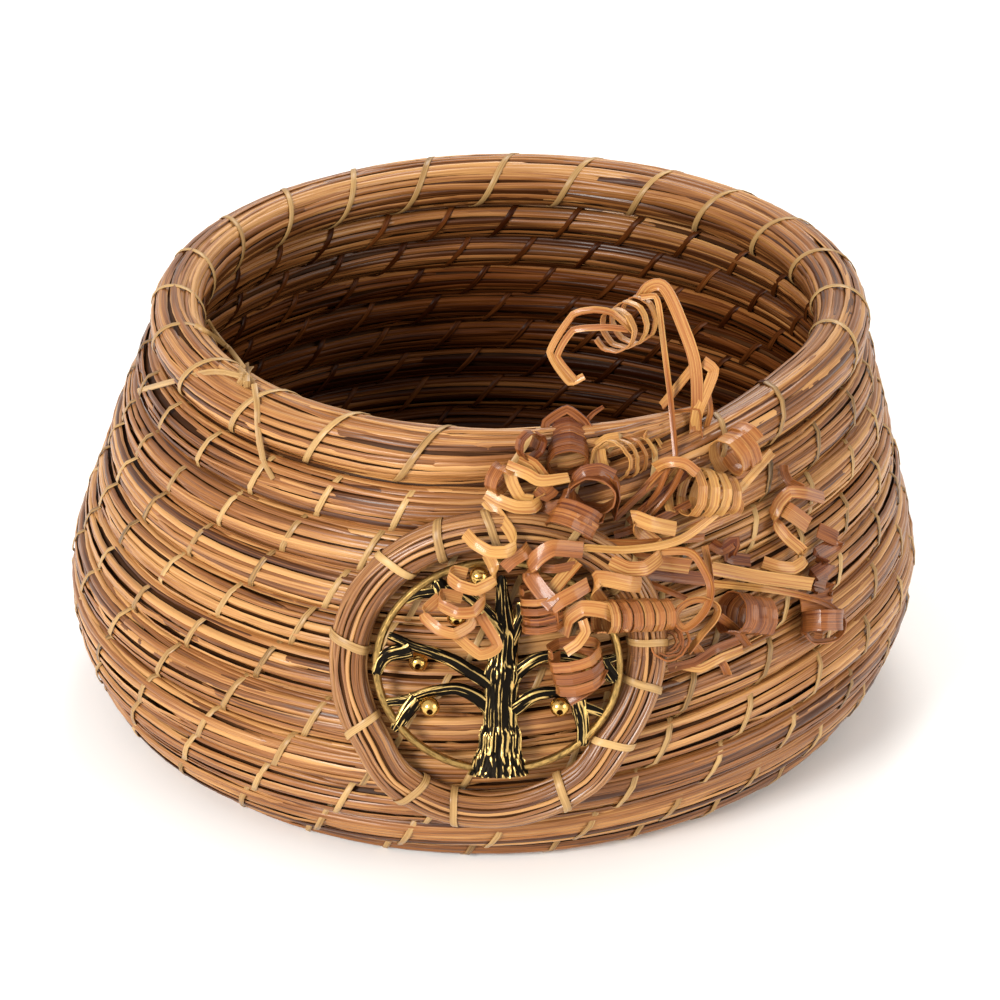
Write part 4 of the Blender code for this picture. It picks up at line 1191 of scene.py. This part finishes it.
def lay_coil(gather, first, last, radii, turns, width, tone, phase, way=1):
    """Coil about the axis between two picture places; phase 0 starts towards the eye."""
    a, b = spot(*first), spot(*last)
    axis = unit(b - a)
    toward = to_up if abs(float(axis @ to_back)) > 0.9 else to_back
    side = unit(toward - axis * (axis @ toward))
    over = np.cross(axis, side)
    count = int(turns * FACETS * 4)
    share = np.arange(count + 1) / count
    facet = np.arange(count + 1) / 4
    angle = math.radians(phase) + way * 2 * math.pi * facet / FACETS
    in_facet = (facet % 1.0 - 0.5) * 2 * math.pi / FACETS
    poly = math.cos(math.pi / FACETS) / np.cos(in_facet)
    bent = np.array([noise.noise((math.floor(f + 0.4) * 0.9, tone * 9, width)) for f in facet])
    radius = np.interp(share, np.linspace(0, 1, len(radii)), radii) * MM
    radius *= 0.45 * poly + 0.55 + 0.09 * bent
    spoke = side * np.cos(angle)[:, None] + over * np.sin(angle)[:, None]
    route = a + (b - a) * share[:, None] + spoke * radius[:, None]
    gather.add(route, spoke, ribbed(width), 1.0, tone)


def lay_strip(gather, rows, width, tone, face=(0, 0), soft=False, axis=None):
    """Strip through picture places; face turns its flat side away from the eye.

    A strip that was curled about an axis keeps its width along it: axis is then the
    direction of that axis in the picture, in degrees from its right side.
    """
    corners = spots(rows)
    route = follow(corners, 0.7 * MM)
    if not soft:
        route = 0.5 * route + 0.5 * follow(corners, 0.7 * MM, False)
    run = unit(np.gradient(route, axis=0))
    flat = unit(to_back - run * (run @ to_back)[:, None])
    edge = np.cross(run, flat)
    given = np.linspace(0, 1, len(face))
    angle = np.radians(np.interp(np.linspace(0, 1, len(route)), given, face))[:, None]
    facing = flat * np.cos(angle) + edge * np.sin(angle)
    if axis is not None:
        turned = math.radians(axis)
        way = to_right * math.cos(turned) + to_up * math.sin(turned)
        curled = np.cross(run, way)
        curled += 0.3 * facing * np.sign(np.sum(curled * facing, axis=1) + 1e-9)[:, None]
        padded = np.vstack([curled[:1]] * 3 + [curled] + [curled[-1:]] * 3)
        facing = unit(sum(padded[k:k + len(curled)] for k in range(7)))
    gather.add(route, facing, ribbed(width), 1.0, tone)


def lay_curl(gather, rows, width, tone, axis):
    """Strip through picture places that was curled about an axis, given in degrees."""
    lay_strip(gather, rows, width, tone, axis=axis)


def lay_group(name, nodes, parts):
    """One piece of strips that takes the place of packed ones."""
    gather = Rolled()
    for kind, *values in parts:
        kind(gather, *values)
    gather.piece(name, strip_glaze, "curled_strip", *nodes, sharp=STRIP_SHARP)


# %% The tall strip and its neighbours
lay_group("tall_tendril", ["tendril"], [
    (lay_strip, [(694, 458, 0.6), (695, 430, -60), (697, 395, -60), (694, 359, -60),
                 (681, 321, -60), (668, 292, -59), (659, 284, -58.5), (648, 287, -58),
                 (641, 296, -57.5)], 2.3, 0.72, (20, -30), True),
    (lay_coil, (643, 316, -56), (612, 334, -66), (3.9, 4.2, 3.4), 3.1, 1.7, 0.66, 200, -1),
    (lay_strip, [(633, 331, -66), (612, 313, -66), (594, 310, -66), (573, 315, -65),
                 (550, 352, -64), (569, 382, -63), (584, 376, -63)], 1.3, 0.70, (30, 10)),
    (lay_strip, [(628, 329, -66), (605, 327, -66), (573, 330, -65), (557, 356, -64),
                 (575, 380, -63)], 1.2, 0.55, (-20, 0)),
])
lay_group("upright_strip", ["strip_upright"], [
    (lay_strip, [(641, 297, -58), (655, 296, -58.5), (659, 306, -59), (664, 345, -60),
                 (671, 400, -61), (676, 456, 0.3)], 1.1, 0.5, (10, 35)),
])
lay_group("folded_strip", ["strip_folded"], [
    (lay_strip, [(691, 464, 0.3), (694, 434, -60), (698, 411, -60), (707, 390, -60),
                 (714, 370, -60), (703, 361, -59)], 2.1, 0.78, (15, -15)),
    (lay_strip, [(706, 453, 0.4), (703, 436, -59), (710, 413, -59), (708, 395, -59)], 1.2, 0.6,
                 (60, 20)),
    (lay_strip, [(693, 368, -59.5), (673, 393, -58.5), (662, 406, -58)], 1.8, 0.62, (25, 40)),
])
lay_group("low_arc_strip", ["strip_low_arc"], [
    (lay_strip, [(644, 436, 0.5), (650, 427, -60), (659, 418, -60), (676, 411, -60),
                 (698, 410, -60), (701, 431, -60), (706, 454, 0.4)], 1.1, 0.62, (55, 70)),
])

# %% Curls on the rim
lay_group("top_dark_curl", ["curl_top_dark"], [
    (lay_coil, (567, 427, -63), (568, 465, -72), (3.0, 3.9, 3.7), 6.4, 1.5, 0.16, 40),
    (lay_strip, [(545, 436, -66), (546, 422, -65), (567, 409, -64), (585, 422, -65),
                 (598, 445, -67), (606, 456, -68)], 1.7, 0.22, (10, 30)),
    (lay_strip, [(584, 423, -64.5), (593, 413, -64), (603, 406, -63.5)], 1.0, 0.14, (20, 60)),
])
lay_group("left_loops", ["curl_left_light"], [
    (lay_coil, (526, 443, 3.2), (533, 447, 4.2), (2.2, 2.7), 1.3, 2.0, 0.30, 180),
    (lay_coil, (494, 476, 3.4), (504, 482, 4.6), (2.3, 2.6), 1.4, 2.6, 0.34, 190),
    (lay_strip, [(569, 478, 5.2), (541, 481, 5.8), (527, 474, 5.6), (507, 465, 4.6)], 2.2, 0.86,
                 (40, -20), True),
    (lay_strip, [(508, 467, 4.4), (513, 484, 4.8), (521, 498, 5.0), (533, 500, 4.8)], 2.4, 0.8,
                 (10, 30)),
    (lay_curl, [(486, 493, 4.0), (500, 501, 5.2), (516, 507, 5.8), (533, 507, 5.4),
                (542, 497, 4.4), (536, 489, 3.2)], 2.4, 0.86, 80),
    (lay_strip, [(519, 459, 3.0), (532, 466, 3.6), (541, 478, 3.6), (550, 489, 3.0)], 3.2, 0.50,
                 (30, -20)),
    (lay_strip, [(538, 488, 4.8), (546, 494, 4.6), (553, 487, 4.2)], 3.0, 0.42, (-10, 25)),
])
lay_group("top_light_curl", ["curl_top_light"], [
    (lay_coil, (606, 463, -73), (646, 452, -62), (3.8, 3.6, 3.9), 4.8, 1.1, 0.78, 100),
    (lay_strip, [(596, 449, -68), (607, 441, -68), (619, 439, -67.5)], 2.6, 0.88, (15, -10)),
    (lay_strip, [(599, 449, -69), (601, 462, -69.5), (605, 472, -69)], 2.4, 0.86, (10, 10)),
])
lay_group("middle_dark_curl", ["curl_middle_dark"], [
    (lay_coil, (595, 484, 3.2), (592, 499, 7.6), (4.7, 4.2, 4.5), 2.3, 2.4, 0.22, 120),
    (lay_curl, [(571, 506, 4.6), (573, 486, 5.6), (584, 472, 6.4), (600, 469, 6.6),
                (614, 476, 6.2)], 2.3, 0.26, 75),
    (lay_strip, [(614, 480, 7.6), (618, 498, 6.6), (614, 517, 3.0)], 1.8, 0.30, (50, 70)),
])
lay_group("wide_curl", [], [
    (lay_coil, (582, 506, 7.2), (570, 529, 8.2), (4.0, 4.3), 2.3, 3.0, 0.27, 60),
    (lay_strip, [(562, 506, 4.0), (545, 510, 3.4), (533, 523, 2.6), (529, 539, 2.2)], 2.6, 0.32,
                 (15, 25), True),
])
lay_group("right_rings", ["curl_right_rings"], [
    (lay_coil, (681, 490, 5.2), (733, 496, 4.4), (4.6, 4.4, 3.2), 4.2, 2.0, 0.74, 120),
    (lay_strip, [(655, 467, 4.2), (667, 462, 6.4), (684, 463, 8.0), (697, 473, 8.8)], 2.0, 0.72,
                 (20, 0), True),
    (lay_strip, [(668, 464, 4.6), (654, 478, 3.2), (637, 497, 1.2)], 1.3, 0.55, (30, 30)),
    (lay_strip, [(669, 466, 5.0), (658, 492, 3.4), (640, 514, 1.0)], 1.1, 0.20, (30, 50), True),
    (lay_strip, [(682, 470, 5.0), (672, 490, 3.4), (650, 516, 1.0)], 1.3, 0.34, (40, 30), True),
])
lay_group("rim_right_curl", ["curl_rim_right"], [
    (lay_coil, (727, 458, 4.6), (748, 444, 4.0), (3.9, 4.1), 2.6, 2.7, 0.62, 150),
    (lay_strip, [(735, 474, 2.2), (748, 470, 1.4), (757, 458, 1.0)], 2.2, 0.48, (20, 30)),
])

# %% Strips and curls on the right of the wall
lay_group("long_arc", ["strip_long_arc"], [
    (lay_strip, [(583, 547, 7.6), (629, 549, 6.6), (675, 541, 5.6), (705, 522, 5.4),
                 (732, 497, 5.6), (757, 469, 5.8), (772, 452, 6.0)], 1.7, 0.80, (45, 15), True),
    (lay_strip, [(661, 547, 3.0), (713, 524, 2.2), (738, 513, 1.6), (741, 504, 1.8),
                 (734, 496, 2.6)], 1.2, 0.52, (35, 20)),
])
lay_group("square_end_strip", ["strip_square_end"], [
    (lay_curl, [(676, 529, 5.6), (652, 524, 6.8), (632, 517, 5.6), (640, 532, 4.0),
                (658, 546, 4.2), (660, 557, 5.4), (646, 568, 7.4), (628, 569, 7.6),
                (610, 561, 6.4)], 2.8, 0.74, 96),
    (lay_curl, [(641, 585, 8.4), (630, 584, 10.0), (598, 578, 10.2), (594, 592, 8.4),
                (604, 606, 6.4)], 2.9, 0.62, 82),
    (lay_curl, [(563, 634, 7.6), (568, 618, 8.8), (583, 608, 10.4), (606, 611, 10.8),
                (630, 625, 10.0)], 2.9, 0.66, 100),
])
lay_group("straight_strip", ["strip_straight"], [
    (lay_strip, [(711, 568, 3.2), (760, 577, 3.8), (812, 584, 4.2)], 2.6, 0.84, (5, 12)),
    (lay_strip, [(640, 580, 4.0), (662, 588, 4.4), (686, 598, 4.0)], 1.2, 0.32, (15, 40)),
    (lay_strip, [(634, 590, 4.6), (655, 600, 4.6), (676, 612, 3.8)], 1.2, 0.30, (15, 40)),
    (lay_strip, [(592, 556, 3.0), (640, 560, 3.6), (690, 566, 2.6)], 3.0, 0.56, (5, 20)),
    (lay_strip, [(596, 571, 2.4), (650, 573, 2.6), (706, 579, 2.0)], 2.6, 0.30, (5, 10)),
    (lay_strip, [(711, 543, 2.2), (722, 549, 1.4), (735, 541, 2.6), (729, 557, 1.2),
                 (750, 561, 1.0)], 2.4, 0.16, (20, -20)),
])
lay_group("fan_of_strips", [], [
    (lay_strip, [(614, 519, 1.4), (640, 494, 2.4), (668, 470, 2.8)], 1.3, 0.45, (10, 30)),
    (lay_strip, [(628, 522, 1.2), (656, 498, 2.0), (687, 473, 2.6)], 1.5, 0.3, (20, 0)),
    (lay_strip, [(614, 535, 1.8), (650, 523, 2.4), (690, 503, 2.6)], 1.6, 0.22, (10, 20)),
    (lay_strip, [(619, 543, 2.6), (668, 533, 3.0), (716, 514, 2.6), (741, 506, 1.4)], 1.4, 0.5,
                 (20, 10)),
    (lay_strip, [(654, 551, 2.0), (690, 535, 2.4), (722, 519, 2.0)], 1.7, 0.62, (5, 20)),
    (lay_strip, [(584, 541, 5.4), (640, 543, 4.8), (704, 537, 2.8)], 1.5, 0.4, (30, 20)),
    (lay_strip, [(676, 664, 1.6), (700, 668, 2.6), (722, 657, 3.0), (742, 649, 2.0)], 1.7, 0.5,
                 (10, 20)),
    (lay_strip, [(668, 668, 1.2), (694, 662, 2.8), (716, 648, 3.6), (738, 640, 2.6)], 1.6, 0.36,
                 (15, 10)),
    (lay_strip, [(716, 655, 1.6), (724, 665, 2.4), (728, 674, 1.0)], 1.6, 0.42, (10, 30)),
])
lay_group("far_right_curl", ["curl_far_right"], [
    (lay_strip, [(784, 465, 1.6), (785, 473, 1.6), (790, 482, 2.6), (803, 488, 4.2)], 1.7, 0.34,
                 (20, 20)),
    (lay_curl, [(824, 498, 3.2), (806, 493, 4.8), (790, 492, 4.4), (779, 503, 2.6),
                (773, 519, 1.6), (787, 538, 2.6), (802, 551, 3.0), (804, 561, 3.4),
                (794, 568, 3.6), (779, 567, 2.8), (763, 562, 1.2)], 2.4, 0.55, 100),
    (lay_curl, [(780, 506, 1.8), (790, 512, 3.8), (808, 525, 2.8)], 3.2, 0.60, 70),
])
lay_group("crinkled_strip", ["strip_crinkled"], [
    (lay_curl, [(818, 530, 2.6), (838, 541, 3.4), (816, 556, 1.8), (829, 565, 3.4),
                (812, 577, 1.8), (829, 583, 3.2), (812, 591, 1.8), (832, 598, 3.4),
                (801, 604, 2.6)], 3.0, 0.3, 95),
])
lay_group("hook_curl", ["curl_hook"], [
    (lay_strip, [(713, 583, 3.0), (770, 589, 3.6), (809, 597, 4.4), (833, 607, 5.0),
                 (844, 623, 4.6), (837, 638, 3.2), (815, 642, 2.6), (804, 633, 2.8)], 1.6, 0.50,
                 (30, 65), True),
    (lay_coil, (823, 612, 3.4), (822, 628, 3.8), (3.6, 4.0), 1.25, 4.0, 0.22, 100),
])
lay_group("low_dark_curl", ["curl_low_dark"], [
    (lay_coil, (731, 612, 4.4), (766, 617, 4.4), (4.0, 3.6, 3.4), 3.3, 2.8, 0.24, 60),
    (lay_strip, [(719, 616, 5.2), (735, 628, 4.4), (748, 645, 2.2)], 1.8, 0.38, (20, 40)),
])

# %% Curls over the ring and the tree
lay_group("ring_curl", ["curl_over_ring"], [
    (lay_coil, (600, 617, 9.4), (672, 614, 7.0), (2.9, 3.0, 2.7), 6.5, 1.9, 0.52, 80),
])
lay_group("falling_ring", [], [
    (lay_strip, [(661, 551, 5.0), (690, 552, 6.2), (704, 569, 7.8), (711, 587, 9.0),
                 (708, 606, 10.0), (697, 621, 10.6), (683, 629, 10.0), (675, 616, 8.6),
                 (684, 604, 8.6), (700, 599, 9.2), (717, 606, 9.8), (716, 618, 9.4),
                 (703, 634, 8.2), (689, 652, 6.2)], 1.7, 0.58, (35, 55), True),
    (lay_strip, [(705, 546, 3.6), (709, 566, 5.6), (711, 583, 7.4)], 1.4, 0.66, (20, 30)),
])
lay_group("end_on_roll", ["curl_roll"], [
    (lay_coil, (667, 642, 3.0), (668, 641, 6.4), (1.0, 3.8), 4.0, 2.4, 0.28, 0),
    (lay_strip, [(684, 640, 5.4), (697, 648, 3.6), (705, 660, 1.2)], 1.8, 0.40, (25, 25)),
])
lay_group("falling_zigzag", ["curl_zigzag"], [
    (lay_curl, [(486, 500, 4.0), (498, 514, 5.0), (511, 532, 7.6), (516, 546, 10.0),
                (506, 552, 11.6), (490, 552, 12.0), (474, 543, 11.2), (465, 533, 9.4)], 2.3, 0.8,
                82),
    (lay_curl, [(487, 554, 8.6), (494, 567, 8.6), (495, 580, 10.2), (476, 590, 12.2),
                (458, 585, 12.0), (448, 577, 10.2), (454, 571, 8.4), (467, 574, 7.8)], 2.2, 0.74,
                84),
    (lay_curl, [(480, 588, 8.0), (485, 599, 9.2), (474, 612, 11.6), (457, 613, 12.0),
                (439, 604, 10.4), (443, 594, 8.4), (462, 598, 7.8)], 2.1, 0.7, 86),
    (lay_curl, [(440, 597, 8.4), (423, 614, 9.6), (438, 629, 11.2), (454, 634, 11.2),
                (470, 625, 9.2), (474, 612, 8.0)], 2.1, 0.66, 80),
    (lay_strip, [(452, 632, 9.8), (480, 655, 10.4), (498, 646, 9.4), (480, 615, 8.0)], 2.0, 0.62,
                 (-10, 10)),
])
lay_group("brown_zigzag", ["curl_brown"], [
    (lay_curl, [(583, 550, 8.4), (553, 548, 9.8), (537, 558, 9.4), (528, 572, 8.4),
                (542, 592, 9.6), (554, 605, 11.0)], 3.1, 0.42, 84),
    (lay_strip, [(577, 561, 6.4), (566, 574, 7.4), (553, 590, 8.4)], 2.6, 0.5, (10, 20)),
    (lay_strip, [(551, 607, 10.6), (561, 600, 11.2), (575, 592, 11.0), (588, 584, 9.6)], 2.8, 0.48,
                 (0, 20)),
    (lay_strip, [(549, 600, 10.4), (553, 610, 10.0), (555, 624, 8.8)], 1.9, 0.34, (25, 30)),
    (lay_curl, [(541, 568, 6.6), (555, 569, 7.4), (575, 565, 6.6)], 1.6, 0.45, 85),
    (lay_coil, (541, 588, 6.6), (545, 631, 6.0), (3.9, 4.0), 4.6, 1.3, 0.34, 60),
    (lay_strip, [(504, 568, 8.4), (513, 560, 9.0), (524, 553, 8.4), (529, 547, 7.0)], 2.4, 0.40,
                 (10, 20)),
])
lay_group("tree_curl", ["curl_over_tree"], [
    (lay_coil, (573, 646, 9.2), (580, 684, 8.4), (4.7, 4.9, 4.4), 3.1, 2.0, 0.34, 60),
    (lay_strip, [(602, 668, 9.6), (592, 685, 11.0), (568, 700, 10.2)], 2.6, 0.36, (15, 10)),
    (lay_strip, [(583, 620, 10.6), (586, 632, 11.6), (578, 644, 12.0), (566, 652, 11.4)], 2.0,
                 0.50, (30, 10)),
])

# %% Remove the helper profiles
for helper in (inside_profile, flat_profile):
    bpy.data.objects.remove(helper)
